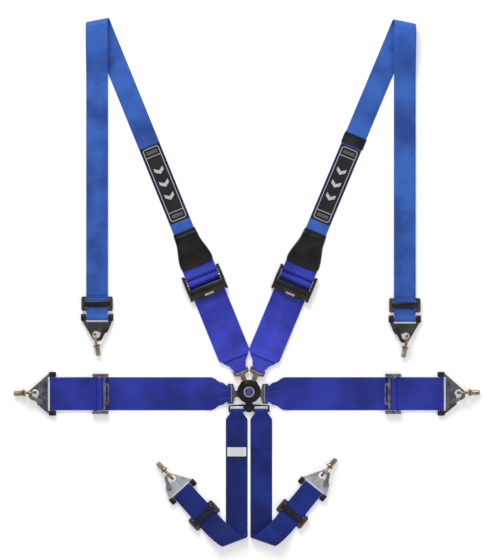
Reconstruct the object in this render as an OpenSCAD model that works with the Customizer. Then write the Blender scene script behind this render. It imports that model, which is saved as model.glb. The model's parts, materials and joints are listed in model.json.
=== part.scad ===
// Six-point racing harness, laid flat on its back with the buckle in the middle.
// Millimetres. The origin is on the buckle axis at the face that the buckle rests on,
// +Y runs towards the shoulder straps, +X to the right lap strap and +Z up.

/* [Webbing] */
// Width of the narrow straps
narrow_w = 50; // [41:1:60]
// Width of the wide straps
wide_w = 76; // [63:1:92]
// Thickness of one layer of webbing
web_t = 1.4; // [1.1:0.05:1.7]
// Space between pieces that pass each other
gap = 0.3; // [0.3:0.05:0.4]

/* [Shoulder straps] */
// Angle of the left shoulder strap from straight up
shoulder_angle_left = 22.1; // [19:0.1:27]
// Angle of the right shoulder strap from straight up
shoulder_angle_right = 22.7; // [19:0.1:27]
// Distance from the buckle axis to the shoulder adjusters
shoulder_adjuster_r = 270; // [225:1:290]
// Distance from the buckle axis to the fold of the shoulder straps
shoulder_fold_r = 905; // [750:1:1090]
// Length of the shoulder tails from the fold to the hook bar
shoulder_tail_l = 668; // [550:1:800]
// Height that the shoulder folds stand up
shoulder_fold_h = 34; // [28:1:41]
// Distance from the hook bar up to the shoulder slide
shoulder_slide_d = 33; // [32:1:40]

/* [Lap straps] */
// Distance from the buckle axis to the left lap adjuster
lap_adjuster_left = 341; // [280:1:410]
// Distance from the buckle axis to the right lap adjuster
lap_adjuster_right = 331; // [280:1:400]
// Distance from the lap adjuster to the bar of the lap hook
lap_anchor_l = 112; // [92:1:135]
// How far the lap straps lie below the buckle axis
lap_drop = 5; // [0:0.5:6]

/* [Crotch straps] */
// Distance from the buckle axis to the fold of the crotch straps
crotch_fold_d = 331; // [276:1:397]
// Space between the two crotch straps
crotch_space = 6.4; // [5.4:0.1:12]
// Length of the crotch tails from the fold to the hook bar
crotch_tail_l = 155; // [129:1:186]
// How far the crotch tails drift sideways as they leave their folds
crotch_sway = 13; // [0:1:16]
// Height that the crotch folds stand up
crotch_fold_h = 26; // [22:1:31]
// Angle of the left crotch tail from straight up
crotch_angle_left = 42; // [36:1:48]
// Angle of the right crotch tail from straight up
crotch_angle_right = 39; // [34:1:46]
// Distance from the hook bar to the crotch slide
crotch_slide_d = 75; // [62:1:90]

/* [Buckle] */
// Diameter of the buckle
buckle_d = 54; // [50:1:65]
// Thickness of the tongue and hook plates
plate_t = 3; // [2.5:0.1:3.6]
// Diameter of the bars that webbing turns round
bar_d = 6; // [5:0.2:7.2]
// Travel of the lock pins
lock_travel = 3.2; // [3:0.1:3.4]
// Diameter of the lock pins
pin_d = 4.4; // [3.6:0.1:5]

/* [Anchors] */
// Diameter of the eye bolt thread
bolt_d = 11.112; // [9:0.1:13.4]
// Length of the eye bolt thread
bolt_l = 21; // [17:0.5:26]
// Diameter of the wire that the eye is bent from
eye_wire_d = 6.4; // [5.3:0.1:7.2]
// Inside diameter of the eye
eye_d = 16.6; // [16:0.1:20]

/* [Hidden] */
bar_r = bar_d / 2;
loop_in = bar_r + gap;
loop_out = loop_in + web_t;
// Height of every bar: one layer of webbing passes under the loop
bar_z = web_t + gap + loop_out + 0.1;
// Doubled webbing
double_t = 2 * web_t + 0.2;
slot_gap = 0.4;
plate_z = bar_z - plate_t / 2;
slide_bar_t = 2.9;

// Buckle levels
buckle_r = buckle_d / 2;
back_t = plate_z - slot_gap;
guide_z = plate_z + plate_t + slot_gap;
guide_t = 2.6;
cavity_z = guide_z + guide_t;
lock_ring_t = 1.2;
lock_ring_z = cavity_z + lock_travel + 0.3;
roof_z = lock_ring_z + lock_ring_t + 0.4;
roof_t = 1.5;
lever_z = roof_z + roof_t + 0.4;
lever_t = 4.2;
cavity_r = buckle_r - 3.6;
pin_pos_r = 20;
hub_r = 8;
shaft_play = 0.1;
housing_r = buckle_r - 0.6;

// Tongues
shoulder_bar_r = 54;
lap_bar_left = 46;
lap_bar_right = 41;
crotch_bar_r = 44;
shoulder_loop_w = 28;
lap_loop_w = 38;
crotch_loop_w = 30;
arm_w = 3.8;
tongue_slot = web_t + 2 * gap + 0.6;
shoulder_blade_w = 11;
lap_blade_w = 15;
blade_in_r = 14.5;

// Hooks, measured outwards from the bar
hook_slot = 6;
nose_u = 49;
nose_half = 4.2;
mouth_u = 38;
mouth_r = 8.5;
ring_side = -3;
pivot_u = 25;
pivot_v = 18;
gate_t = 2.2;
rivet_r = 2.8;
ear_r = 6.5;
ring_mid = (eye_d + eye_wire_d) / 2;
ring_lift = 3;
ring_z = ring_mid + eye_wire_d / 2 + ring_lift;
nose_z = ring_z - sqrt(pow(eye_d / 2, 2) - pow(nose_half + 0.6, 2)) + gap + plate_t / 2;
hook_tilt = asin((nose_z - bar_z) / nose_u);
collar_r = bolt_d / 2 + 2.6;
collar_t = 4;
bolt_tip = ring_mid + eye_wire_d / 2 + collar_t - 1 + bolt_l;
bolt_droop = asin((ring_z - bolt_d / 2 - 0.4) / bolt_tip);

// Adjusters, measured from the middle of the adjuster away from the sewn loop
shoulder_half = 30;
shoulder_loop_x = -20;
shoulder_front_x = -11;
shoulder_rear_x = 24;
shoulder_float_x = 6;
lap_half = 18;
lap_loop_x = -12;
lap_front_x = 9;
lap_float_x = -3;
lap_tab_x = 20;
lap_tab_w = 46;
adj_bar_r = 4;
adj_bar_travel = 3;
cheek_t = 7;
cheek_in = wide_w / 2 + 1.2;
cheek_out = cheek_in + cheek_t;
cheek_z = web_t + gap + 0.1;
cheek_h = 13;
lip_r = 120;

// Straps
crotch_pitch = narrow_w + crotch_space;
shoulder_gather = 34;
shoulder_sleeve = 56;
free_end = 110;
cover_r1 = shoulder_adjuster_r + 43;
cover_r2 = cover_r1 + 85;
cover_h = 4.2;
label_l = 186;
label_r = cover_r2 + 15 + label_l / 2 + 10;
label_t = 0.9;
lap_free = 80;
fold_step = 3;
fold_gap = 0.8;
crotch_web_r = 11.9;

$fn = 48;

// Directions of the straps, in degrees from +X
dir_shoulder_left = 90 + shoulder_angle_left;
dir_shoulder_right = 90 - shoulder_angle_right;
tongue_dirs = [dir_shoulder_left, dir_shoulder_right, 180, 0, 270];

// ---- Helpers ----

// Turns a piece drawn along +X to the direction a, beside the buckle axis by y
module aim(a, y = 0) {
    translate([0, y, 0])
        rotate([0, 0, a])
            children();
}

// A plate drawn in XY, from z upwards by t
module plate(z, t) {
    translate([0, 0, z])
        linear_extrude(height = t)
            children();
}

// A side view drawn in XY, with Y as height, pulled out to a width w about the middle
module side(w) {
    rotate([90, 0, 0])
        translate([0, 0, -w / 2])
            linear_extrude(height = w)
                children();
}

module ring2d(r_out, r_in) {
    difference() {
        circle(r = r_out);
        circle(r = r_in);
    }
}

// A straight rod across the piece, along Y
module cross_bar(x, z, r, w) {
    translate([x, -w / 2, z])
        rotate([-90, 0, 0])
            cylinder(r = r, h = w);
}

// A solid of four-cornered rings, each joined to the next
module ribbon(rings) {
    n = len(rings);
    sides = [
        for (i = [0 : n - 2])
            for (k = [0 : 3])
                let (a = 4 * i + k, b = 4 * i + (k + 1) % 4)
                    [[b + 4, b, a], [a + 4, b + 4, a]]
    ];
    polyhedron(
        points = [for (r = rings) each r],
        faces = concat([[0, 1, 2], [0, 2, 3]], [for (s = sides) each s],
            [[4 * n - 2, 4 * n - 3, 4 * n - 4], [4 * n - 1, 4 * n - 2, 4 * n - 4]]),
        convexity = 8
    );
}

// ---- Folded straps ----
// The fold is a half turn round a cylinder that lies along the fold line. Local +X crosses the
// fold line and +Y runs along it. The strap meets it at the angle b, and s runs along the strap
// from the fold line.

// A point of the strap: s along, w across, o outwards from the middle of the webbing
function fold_point(s, w, o, b, r, zc, drop) =
    let (
        u = s * cos(b) + w * sin(b),
        v = -s * sin(b) + w * cos(b),
        a = u / r * 180 / PI
    )
    u < 0 ? [u, v, zc - r - o]
        : a < 180 ? [(r + o) * sin(a), v, zc - (r + o) * cos(a) - drop]
        : [-(u - PI * r), v, zc + r + o - drop];

// How far the tail has come down, t of the way along its slope
function ease(t) = t <= 0 ? 0 : t >= 1 ? 1 : t * t * (3 - 2 * t);

function fold_ring(s, half, t, b, r, zc, drop, aside = 0) = [
    fold_point(s, aside - half, t / 2, b, r, zc, drop),
    fold_point(s, aside + half, t / 2, b, r, zc, drop),
    fold_point(s, aside + half, -t / 2, b, r, zc, drop),
    fold_point(s, aside - half, -t / 2, b, r, zc, drop)
];

// Radius of the outer and the inner half of a fold that stands h high
function fold_r_out(h) = (h - web_t) / 2;
function fold_r_in(h) = fold_r_out(h) - web_t - fold_gap;

// The end of the strap, up the outside of its fold
module fold_outer(h, b, start) {
    r = fold_r_out(h);
    last = (1.75 * r - narrow_w / 2 * abs(sin(b))) / cos(b);
    first = -narrow_w / 2 * abs(tan(b)) - 1;
    steps = ceil((last - first) / fold_step);
    bend = [for (i = [0 : steps]) first + (last - first) * i / steps];
    ribbon([
        for (s = concat([start], bend))
            fold_ring(s, narrow_w / 2, web_t, b, r, r + web_t / 2, 0)
    ]);
}

// The tail: down the inside of the fold, then sloping to the height of the hook bar and drifting
// aside by so much
module fold_tail(h, b, len_tail, slope, loop_start, aside = 0) {
    r = fold_r_in(h);
    zc = fold_r_out(h) + web_t / 2;
    first = (1.4 * r + narrow_w / 2 * abs(sin(b))) / cos(b);
    flat = (PI * r + narrow_w / 2 * abs(sin(b))) / cos(b) + 1;
    steps = ceil((flat - first) / fold_step);
    half_turn = PI * r / cos(b);
    bend = [for (i = [0 : steps]) first + (flat - first) * i / steps];
    run = [for (i = [1 : 12]) flat + slope * i / 12];
    end = half_turn + len_tail - loop_out + 1;
    low = zc + r - bar_z;
    ribbon(concat(
        [for (s = bend) fold_ring(s, narrow_w / 2, web_t, b, r, zc, 0)],
        [
            for (s = run)
                let (k = ease((s - flat) / slope))
                    fold_ring(s, narrow_w / 2, web_t, b, r, zc, k * low, k * aside)
        ],
        [
            fold_ring(half_turn + loop_start - 2, narrow_w / 2, web_t, b, r, zc, low, aside),
            fold_ring(half_turn + loop_start, narrow_w / 2, double_t, b, r, zc, low, aside),
            fold_ring(end, narrow_w / 2, double_t, b, r, zc, low, aside)
        ]
    ));
}

// Where the tail leaves its fold, in the fold's own frame
function tail_start(h, b) = [0, -PI * fold_r_in(h) * tan(b), 0];

// Puts a piece at the fold at [x, y] of a strap that runs in the direction a and turns by b
module at_fold(p, a, b) {
    translate([p.x, p.y, 0])
        rotate([0, 0, a + b])
            children();
}

// Puts a piece drawn along +X at the distance d down the tail
module on_tail(p, a, b, h, d, aside = 0) {
    at_fold(p, a, b)
        translate(tail_start(h, b))
            rotate([0, 0, 180 + b])
                translate([d, -aside, 0])
                    children();
}

// ---- Buckle ----

module pin_places(r) {
    for (i = [0 : 4])
        aim(tongue_dirs[i], i == 2 || i == 3 ? -lap_drop : 0)
            translate([r, 0, 0])
                children();
}

screw_angles = [34, 146, 225, 315];

module screw_places() {
    for (a = screw_angles)
        rotate([0, 0, a])
            translate([housing_r - 4, 0, 0])
                children();
}

module back_plate() {
    color("dimgray")
        difference() {
            cylinder(r = buckle_r, h = back_t);
            screw_places() {
                translate([0, 0, -1])
                    cylinder(r = 1.55, h = back_t + 2);
                translate([0, 0, -1])
                    cylinder(r = 3.1, h = 3.2);
            }
        }
}

module housing() {
    color([0.1, 0.09, 0.1])
        difference() {
            translate([0, 0, back_t])
                cylinder(r = housing_r, h = roof_z + roof_t - back_t);
            // Channels for the tongues, which meet in the middle
            for (i = [0 : 4]) {
                w = i < 2 ? shoulder_blade_w : lap_blade_w;
                aim(tongue_dirs[i], i == 2 || i == 3 ? -lap_drop : 0)
                    translate([0, -w / 2 - slot_gap, back_t - 1])
                        cube([buckle_r + 5, w + 2 * slot_gap, guide_z - back_t + 1]);
            }
            pin_places(pin_pos_r)
                translate([0, 0, guide_z - 1])
                    cylinder(r = pin_d / 2 + shaft_play, h = guide_t + 2);
            translate([0, 0, cavity_z])
                cylinder(r = cavity_r, h = roof_z - cavity_z);
            translate([0, 0, roof_z - 1])
                cylinder(r = hub_r + shaft_play, h = roof_t + 2);
            screw_places()
                translate([0, 0, 0])
                    cylinder(r = 1.55, h = back_t + 5.2);
        }
}

module lever() {
    grip_y = buckle_r - 8.5;
    color([0.13, 0.11, 0.13])
        difference() {
            union() {
                translate([0, 0, cavity_z + 0.3])
                    cylinder(r = hub_r, h = lever_z - cavity_z);
                // Cam disc inside the housing
                translate([0, 0, cavity_z + 2.6])
                    cylinder(r = 13.5, h = 1.4);
                translate([0, 0, lever_z])
                    cylinder(r = buckle_r - 4.5, h = lever_t - 1);
                translate([0, 0, lever_z + lever_t - 1])
                    cylinder(r1 = buckle_r - 4.5, r2 = buckle_r - 5.5, h = 1);
                // Grip across the top of the lever
                hull()
                    for (x = [-14, 14])
                        translate([x, grip_y, lever_z])
                            cylinder(r = 6, h = lever_t + 3, $fn = 32);
            }
            translate([0, 0, lever_z + lever_t - 1.2])
                cylinder(r = 12.1, h = 10);
        }
}

module badge() {
    color([0.28, 0.24, 0.44])
        translate([0, 0, lever_z + lever_t - 1.2]) {
            cylinder(r = 12, h = 1.6);
            translate([0, 0, 1.6])
                cylinder(r1 = 10.5, r2 = 9.4, h = 0.6);
        }
}

module lock_pins() {
    color("silver") {
        translate([0, 0, lock_ring_z])
            difference() {
                cylinder(r = cavity_r - 0.4, h = lock_ring_t);
                translate([0, 0, -1])
                    cylinder(r = pin_pos_r - pin_d / 2 - 3, h = lock_ring_t + 2);
            }
        pin_places(pin_pos_r)
            translate([0, 0, guide_z])
                cylinder(r = pin_d / 2, h = lock_ring_z - guide_z + 0.6);
    }
}

module return_spring() {
    color("silver")
        for (i = [0 : 1])
            translate([0, 0, cavity_z + 0.6 + i * 0.9])
                rotate_extrude()
                    translate([hub_r + 2, 0])
                        circle(r = 0.55);
}

module case_screws() {
    color("silver")
        screw_places() {
            translate([0, 0, 0.3])
                cylinder(r = 3.05, h = 1.9);
            translate([0, 0, 2.1])
                cylinder(r = 1.5, h = back_t + 5 - 2.2);
        }
}

// ---- Tongues ----
// Drawn along +X: a blade with its lock hole, a head, a slot and the bar for the webbing

module tongue(r_bar, loop_w, blade_w) {
    head_w = loop_w + 2 * gap + 2 * arm_w;
    head_x = r_bar - bar_r - 8.5;
    difference() {
        union() {
            plate(plate_z, plate_t) {
                translate([blade_in_r, -blade_w / 2])
                    square([head_x - blade_in_r + 1, blade_w]);
                hull() {
                    translate([head_x - 2.5, -blade_w / 2])
                        square([1, blade_w]);
                    for (y = [-1, 1])
                        translate([head_x + 4, y * (head_w / 2 - 3)])
                            circle(r = 3, $fn = 32);
                    translate([r_bar, -head_w / 2])
                        square([0.5, head_w]);
                }
            }
            cross_bar(r_bar, bar_z, bar_r, head_w);
        }
        translate([r_bar - bar_r - tongue_slot, -loop_w / 2 - gap, plate_z - 5])
            cube([tongue_slot, loop_w + 2 * gap, 12]);
        // Room under and over the bar, so only the bar crosses the slot
        translate([r_bar - bar_r - 0.01, -loop_w / 2 - gap, bar_z])
            difference() {
                translate([0, 0, -10])
                    cube([2 * bar_r + 5, loop_w + 2 * gap, 20]);
                cross_bar_cut(loop_w);
            }
        translate([pin_pos_r, 0, plate_z - 1])
            cylinder(r = pin_d / 2 + 0.4, h = plate_t + 2);
    }
}

module cross_bar_cut(loop_w) {
    translate([bar_r + 0.01, loop_w / 2 + gap, 0])
        cross_bar(0, 0, bar_r, loop_w + 2);
}

module shoulder_tongue(a) {
    color([0.5, 0.42, 0.3])
        aim(a)
            tongue(shoulder_bar_r, shoulder_loop_w, shoulder_blade_w);
}

module lap_tongue(a, r_bar) {
    color([0.3, 0.3, 0.3])
        aim(a, -lap_drop)
            tongue(r_bar, lap_loop_w, lap_blade_w);
}

// One tongue carries both crotch straps, each on its own loop
module crotch_tongue() {
    loop_half = crotch_loop_w / 2 + gap;
    color([0.12, 0.11, 0.12])
        aim(270)
            difference() {
                union() {
                    plate(plate_z, plate_t) {
                        translate([blade_in_r, -lap_blade_w / 2])
                            square([crotch_bar_r - blade_in_r - 6, lap_blade_w]);
                        for (s = [-1, 1])
                            hull() {
                                translate([crotch_bar_r - 11, s * (crotch_pitch / 2 - loop_half + 1)])
                                    circle(r = arm_w, $fn = 32);
                                translate([crotch_bar_r - 9, s * (crotch_pitch / 2 + loop_half)])
                                    circle(r = arm_w, $fn = 32);
                                translate([crotch_bar_r - 0.5, s * (crotch_pitch / 2)])
                                    square([1, 2 * (loop_half + arm_w)], center = true);
                            }
                        translate([crotch_bar_r - 8, 0])
                            resize([2 * crotch_web_r, crotch_pitch - 2 * loop_half - 2])
                                circle(r = crotch_web_r);
                    }
                    for (s = [-1, 1])
                        translate([0, s * crotch_pitch / 2, 0])
                            cross_bar(crotch_bar_r, bar_z, bar_r, 2 * (loop_half + arm_w));
                }
                for (s = [-1, 1])
                    translate([0, s * crotch_pitch / 2, 0]) {
                        translate([crotch_bar_r - 10.5, -loop_half, plate_z - 5])
                            cube([10.5 - bar_r, 2 * loop_half, 12]);
                        translate([crotch_bar_r - bar_r - 0.01, -loop_half, bar_z])
                            difference() {
                                translate([0, 0, -10])
                                    cube([2 * bar_r + 5, 2 * loop_half, 20]);
                                cross_bar_cut(crotch_loop_w);
                            }
                    }
                translate([pin_pos_r, 0, plate_z - 1])
                    cylinder(r = pin_d / 2 + 0.4, h = plate_t + 2);
            }
}

// ---- Straight straps ----

// A strap seen from the side: loops round bars at x1 and x2, and a flat run between them at z
module looped_side(x1, x2, z, t) {
    difference() {
        union() {
            polygon([
                [x1, bar_z - t / 2], [x1 + 20, z], [x2 - 20, z], [x2, bar_z - t / 2],
                [x2, bar_z + t / 2], [x2 - 20, z + t], [x1 + 20, z + t], [x1, bar_z + t / 2]
            ]);
            translate([x1, bar_z])
                circle(r = loop_out);
            translate([x2, bar_z])
                circle(r = loop_out);
        }
        for (x = [x1, x2])
            translate([x, bar_z])
                circle(r = loop_in);
    }
}

module shoulder_lower_strap(a) {
    x1 = shoulder_bar_r;
    x2 = shoulder_adjuster_r + shoulder_loop_x;
    h1 = shoulder_loop_w / 2;
    h2 = wide_w / 2;
    color([0.25, 0.27, 0.67])
        aim(a)
            intersection() {
                side(wide_w)
                    looped_side(x1, x2, cheek_z, double_t);
                plate(-5, 40)
                    polygon([
                        [x1 - 9, -h1], [x1 + 6, -h1], [x1 + shoulder_gather, -h2 + 3],
                        [x1 + shoulder_sleeve, -h2], [x2 + 9, -h2], [x2 + 9, h2],
                        [x1 + shoulder_sleeve, h2], [x1 + shoulder_gather, h2 - 3],
                        [x1 + 6, h1], [x1 - 9, h1]
                    ]);
            }
}

function on_axis(r, a) = [r * cos(a), r * sin(a)];

module shoulder_upper_strap(a, b) {
    color([0.24, 0.36, 0.68])
        at_fold(on_axis(shoulder_fold_r, a), a, b)
            fold_outer(shoulder_fold_h, b, free_end - shoulder_fold_r);
}

module shoulder_tail(a, b) {
    color([0.24, 0.36, 0.68])
        at_fold(on_axis(shoulder_fold_r, a), a, b)
            fold_tail(shoulder_fold_h, b, shoulder_tail_l, 230, shoulder_tail_l - 60);
    color([0.24, 0.36, 0.68])
        on_tail(on_axis(shoulder_fold_r, a), a, b, shoulder_fold_h, shoulder_tail_l)
            hook_loop(narrow_w);
}

// The loop of webbing round a hook bar
module hook_loop(w) {
    side(w - 0.6)
        translate([0, bar_z])
            ring2d(loop_out, loop_in);
}

// A cover over the place where the narrow strap meets the wide one, widening towards the adjuster
module shoulder_cover(a) {
    h1 = wide_w / 2;
    h2 = narrow_w / 2 + 2;
    color([0.16, 0.13, 0.14])
        aim(a)
            difference() {
                plate(0, web_t + cover_h)
                    polygon([
                        [cover_r1, -h1], [cover_r1 + 22, -h1 + 1], [cover_r2 - 25, -h2 - 2],
                        [cover_r2, -h2], [cover_r2, h2], [cover_r2 - 25, h2 + 2],
                        [cover_r1 + 22, h1 - 1], [cover_r1, h1]
                    ]);
                translate([cover_r1 - 5, -narrow_w / 2 - 0.2, -1])
                    cube([cover_r2 - cover_r1 + 10, narrow_w + 0.4, web_t + 1]);
            }
}

module shoulder_label(a) {
    color([0.18, 0.18, 0.2])
        aim(a)
            translate([label_r - label_l / 2, -narrow_w / 2, web_t])
                cube([label_l, narrow_w, label_t]);
}

module lap_strap(a, r_bar, r_adj) {
    h1 = lap_loop_w / 2;
    h2 = wide_w / 2;
    x2 = r_adj + lap_free;
    color([0.19, 0.22, 0.57])
        aim(a, -lap_drop)
            intersection() {
                side(wide_w)
                    difference() {
                        union() {
                            polygon([
                                [r_bar, bar_z - double_t / 2], [r_bar + 20, 0], [x2, 0],
                                [x2, web_t], [r_bar + 60, web_t], [r_bar + 55, double_t],
                                [r_bar + 22, double_t], [r_bar, bar_z + double_t / 2]
                            ]);
                            translate([r_bar, bar_z])
                                circle(r = loop_out);
                        }
                        translate([r_bar, bar_z])
                            circle(r = loop_in);
                    }
                plate(-5, 40)
                    polygon([
                        [r_bar - 9, -h1], [r_bar + 6, -h1], [r_bar + 44, -h2], [x2, -h2],
                        [x2, h2], [r_bar + 44, h2], [r_bar + 6, h1], [r_bar - 9, h1]
                    ]);
            }
}

module lap_anchor_strap(a, r_adj) {
    color([0.18, 0.21, 0.54])
        aim(a, -lap_drop)
            side(wide_w)
                looped_side(r_adj - lap_loop_x, r_adj + lap_anchor_l, cheek_z, double_t);
}

module crotch_strap(s, b) {
    h1 = crotch_loop_w / 2;
    h2 = narrow_w / 2;
    x1 = crotch_bar_r;
    x2 = 130;
    color([0.13, 0.17, 0.44]) {
        aim(270)
            translate([0, s * crotch_pitch / 2, 0])
                intersection() {
                    side(narrow_w)
                        difference() {
                            union() {
                                polygon([
                                    [x1, bar_z - double_t / 2], [x1 + 20, 0], [x2 - 10, 0],
                                    [x2, 0.4], [x2, web_t - 0.4], [x2 - 10, web_t],
                                    [x1 + 65, web_t], [x1 + 60, double_t],
                                    [x1 + 22, double_t], [x1, bar_z + double_t / 2]
                                ]);
                                translate([x1, bar_z])
                                    circle(r = loop_out);
                            }
                            translate([x1, bar_z])
                                circle(r = loop_in);
                        }
                    plate(-5, 40)
                        polygon([
                            [x1 - 9, -h1], [x1 + 4, -h1], [x1 + 22, -h2], [x2 - 10, -h2],
                            [x2, 0.5 - h2], [x2, h2 - 0.5], [x2 - 10, h2], [x1 + 22, h2],
                            [x1 + 4, h1], [x1 - 9, h1]
                        ]);
                }
        at_fold([s * crotch_pitch / 2, -crotch_fold_d], 270, b)
            fold_outer(crotch_fold_h, b, x2 - 6.5 - crotch_fold_d);
    }
}

module crotch_tail(s, b) {
    p = [s * crotch_pitch / 2, -crotch_fold_d];
    doubled = crotch_tail_l - crotch_slide_d - 20;
    color([0.13, 0.19, 0.44]) {
        at_fold(p, 270, b)
            fold_tail(crotch_fold_h, b, crotch_tail_l, doubled - 16, doubled, s * crotch_sway);
        on_tail(p, 270, b, crotch_fold_h, crotch_tail_l, s * crotch_sway)
            hook_loop(narrow_w);
    }
}

// ---- Adjusters ----
// Drawn about the middle of the adjuster, with the sewn loop's bar towards -X

module adjuster_cheeks(half, float_x) {
    difference() {
        for (s = [-1, 1])
            translate([0, s * (cheek_in + cheek_t / 2), cheek_z])
                plate(0, cheek_h)
                    difference() {
                        square([2 * half, cheek_t], center = true);
                        // Serrated outer edge
                        for (x = [-half + 5 : 5 : half - 5])
                            translate([x, s * cheek_t / 2])
                                circle(r = 1.1);
                    }
        // Slots that the floating bar runs in
        for (s = [-1, 1])
            hull()
                for (x = [0, adj_bar_travel])
                    translate([float_x + x, s * (cheek_in + 2), bar_z + 3])
                        rotate([90, 0, 0])
                            cylinder(r = adj_bar_r + gap + 0.1, h = 5, center = true, $fn = 32);
    }
}

// A flat bar across the top of the cheeks
module top_bar(x, w, t) {
    translate([x - w / 2, -cheek_in - 0.5, cheek_z + cheek_h - t])
        cube([w, 2 * cheek_in + 1, t]);
}

module shoulder_adjuster(a) {
    color([0.12, 0.12, 0.13])
        aim(a)
            translate([shoulder_adjuster_r, 0, 0]) {
                adjuster_cheeks(shoulder_half, shoulder_float_x);
                cross_bar(shoulder_loop_x, bar_z, bar_r, 2 * cheek_in + 1);
                cross_bar(shoulder_rear_x, bar_z + 1.5, bar_r, 2 * cheek_in + 1);
                top_bar(shoulder_front_x, 9, 4);
                // Lip over the sewn loop, with a bowed edge
                plate(cheek_z + cheek_h - 2, 1.8)
                    intersection() {
                        translate([lip_r - shoulder_half - 3, 0])
                            circle(r = lip_r);
                        translate([-shoulder_half - 4, -cheek_in - 0.5])
                            square([shoulder_front_x + shoulder_half + 2, 2 * cheek_in + 1]);
                    }
            }
}

module lap_adjuster(a, r_adj) {
    color([0.45, 0.45, 0.48])
        aim(a, -lap_drop)
            translate([r_adj, 0, 0])
                rotate([0, 0, 180]) {
                    adjuster_cheeks(lap_half, lap_float_x);
                    cross_bar(lap_loop_x, bar_z, bar_r, 2 * cheek_in + 1);
                    top_bar(lap_front_x, 5, 6);
                    // Tab towards the buckle, with a window in it
                    plate(cheek_z + cheek_h - 2.4, 2)
                        difference() {
                            polygon([
                                [lap_front_x, -lap_tab_w / 2 - 4],
                                [lap_tab_x, -lap_tab_w / 2], [lap_tab_x, lap_tab_w / 2],
                                [lap_front_x, lap_tab_w / 2 + 4]
                            ]);
                            translate([lap_front_x + 4, 4 - lap_tab_w / 2])
                                square([lap_tab_x - lap_front_x - 7, lap_tab_w - 8]);
                        }
                }
}

module floating_bar(x) {
    color([0.55, 0.55, 0.58])
        cross_bar(x, bar_z + 3, adj_bar_r, 2 * (cheek_in + 3.8));
}

module shoulder_adjuster_bar(a) {
    aim(a)
        translate([shoulder_adjuster_r, 0, 0])
            floating_bar(shoulder_float_x);
}

module lap_adjuster_bar(a, r_adj) {
    aim(a, -lap_drop)
        translate([r_adj, 0, 0])
            rotate([0, 0, 180])
                floating_bar(lap_float_x);
}

// ---- Three-bar slides ----
// The outer bars lie under the webbing, the middle bar over it, and the ears join them beside it

module three_bar_slide() {
    half = narrow_w / 2 + 11;
    low = bar_z - double_t / 2 - gap - slide_bar_t;
    high = bar_z + double_t / 2 + gap;
    side_in = narrow_w / 2 + 1;
    color([0.2, 0.18, 0.19]) {
        for (x = [-13.5, 13.5])
            translate([x - 3.5, -side_in - 1, low])
                cube([7, 2 * side_in + 2, slide_bar_t]);
        translate([-3, -side_in - 1, high])
            cube([6, 2 * side_in + 2, slide_bar_t]);
        for (s = [-1, 1])
            plate(low, high + slide_bar_t - low)
                hull()
                    for (x = [-12, 12])
                        for (y = [side_in + 3, half - 5])
                            translate([x, s * y])
                                circle(r = 5 - (y > side_in + 4 ? 0 : 2), $fn = 32);
    }
}

// ---- Snap hooks ----
// Drawn outwards along +X from the bar in the webbing. The gate is on the +Y side when m is 1.

module tilted() {
    translate([0, 0, bar_z])
        rotate([0, -hook_tilt, 0])
            children();
}

module hook(w, m) {
    half = w / 2 + ear_r + gap + 4;
    tilted()
        mirror([0, m < 0 ? 1 : 0, 0]) {
            difference() {
                translate([0, 0, -plate_t / 2])
                    linear_extrude(height = plate_t)
                        difference() {
                            hull() {
                                for (s = [-1, 1])
                                    translate([2, s * (half - ear_r)])
                                        circle(r = ear_r, $fn = 32);
                                translate([pivot_u - 2, pivot_v + 2])
                                    circle(r = 8, $fn = 32);
                                translate([nose_u, -4])
                                    circle(r = nose_half, $fn = 32);
                                translate([nose_u, 6])
                                    circle(r = nose_half, $fn = 32);
                            }
                            translate([-10, -w / 2 - gap])
                                square([10 + bar_r + hook_slot, w + 2 * gap]);
                            translate([mouth_u, -2])
                                circle(r = mouth_r);
                            hull() {
                                translate([mouth_u, 0])
                                    circle(r = 5.5, $fn = 32);
                                translate([mouth_u + 2, 32])
                                    circle(r = 5.5, $fn = 32);
                            }
                        }
                translate([pivot_u, pivot_v, -plate_t])
                    cylinder(r = rivet_r + 0.08, h = 2 * plate_t);
            }
            cross_bar(0, 0, bar_r, w + 2 * gap + 3);
        }
}

// The sprung gate lies on the plate and turns on its rivet
module gate(m) {
    z = plate_t / 2 + gap;
    tilted()
        mirror([0, m < 0 ? 1 : 0, 0]) {
            plate(z, gate_t)
                hull() {
                    translate([pivot_u, pivot_v])
                        circle(r = 5.5, $fn = 32);
                    translate([nose_u, 7.5])
                        circle(r = 3, $fn = 32);
                }
            translate([pivot_u, pivot_v, z + gate_t])
                cylinder(r1 = 4, r2 = 2.6, h = 1.3);
            translate([pivot_u, pivot_v, -z])
                cylinder(r = rivet_r, h = 2 * z);
            translate([pivot_u, pivot_v, -z - 1.2])
                cylinder(r = 4.4, h = 1.2);
        }
}

// The eye stands upright through the hook, and the threaded end rests on the ground
module eye_bolt(m, yaw) {
    translate([nose_u * cos(hook_tilt), m * ring_side, ring_z])
        rotate([0, 0, yaw])
            rotate([0, bolt_droop, 0]) {
                rotate([90, 0, 0])
                    rotate_extrude()
                        translate([ring_mid, 0])
                            circle(r = eye_wire_d / 2);
                rotate([0, 90, 0]) {
                    translate([0, 0, ring_mid + 1])
                        cylinder(r1 = eye_wire_d / 2, r2 = collar_r - 1, h = eye_wire_d / 2 - 1);
                    translate([0, 0, ring_mid + eye_wire_d / 2])
                        cylinder(r = collar_r, h = collar_t - 1);
                    translate([0, 0, ring_mid + eye_wire_d / 2 + collar_t - 1.5])
                        cylinder(r = bolt_d / 2, h = bolt_l + 0.5);
                }
            }
}

fold_turn_left = -shoulder_angle_left / 2;
fold_turn_right = shoulder_angle_right / 2;
crotch_turn_left = crotch_angle_left / 2;
crotch_turn_right = -crotch_angle_right / 2;
crotch_left = [-crotch_pitch / 2, -crotch_fold_d];
crotch_right = [crotch_pitch / 2, -crotch_fold_d];

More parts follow.
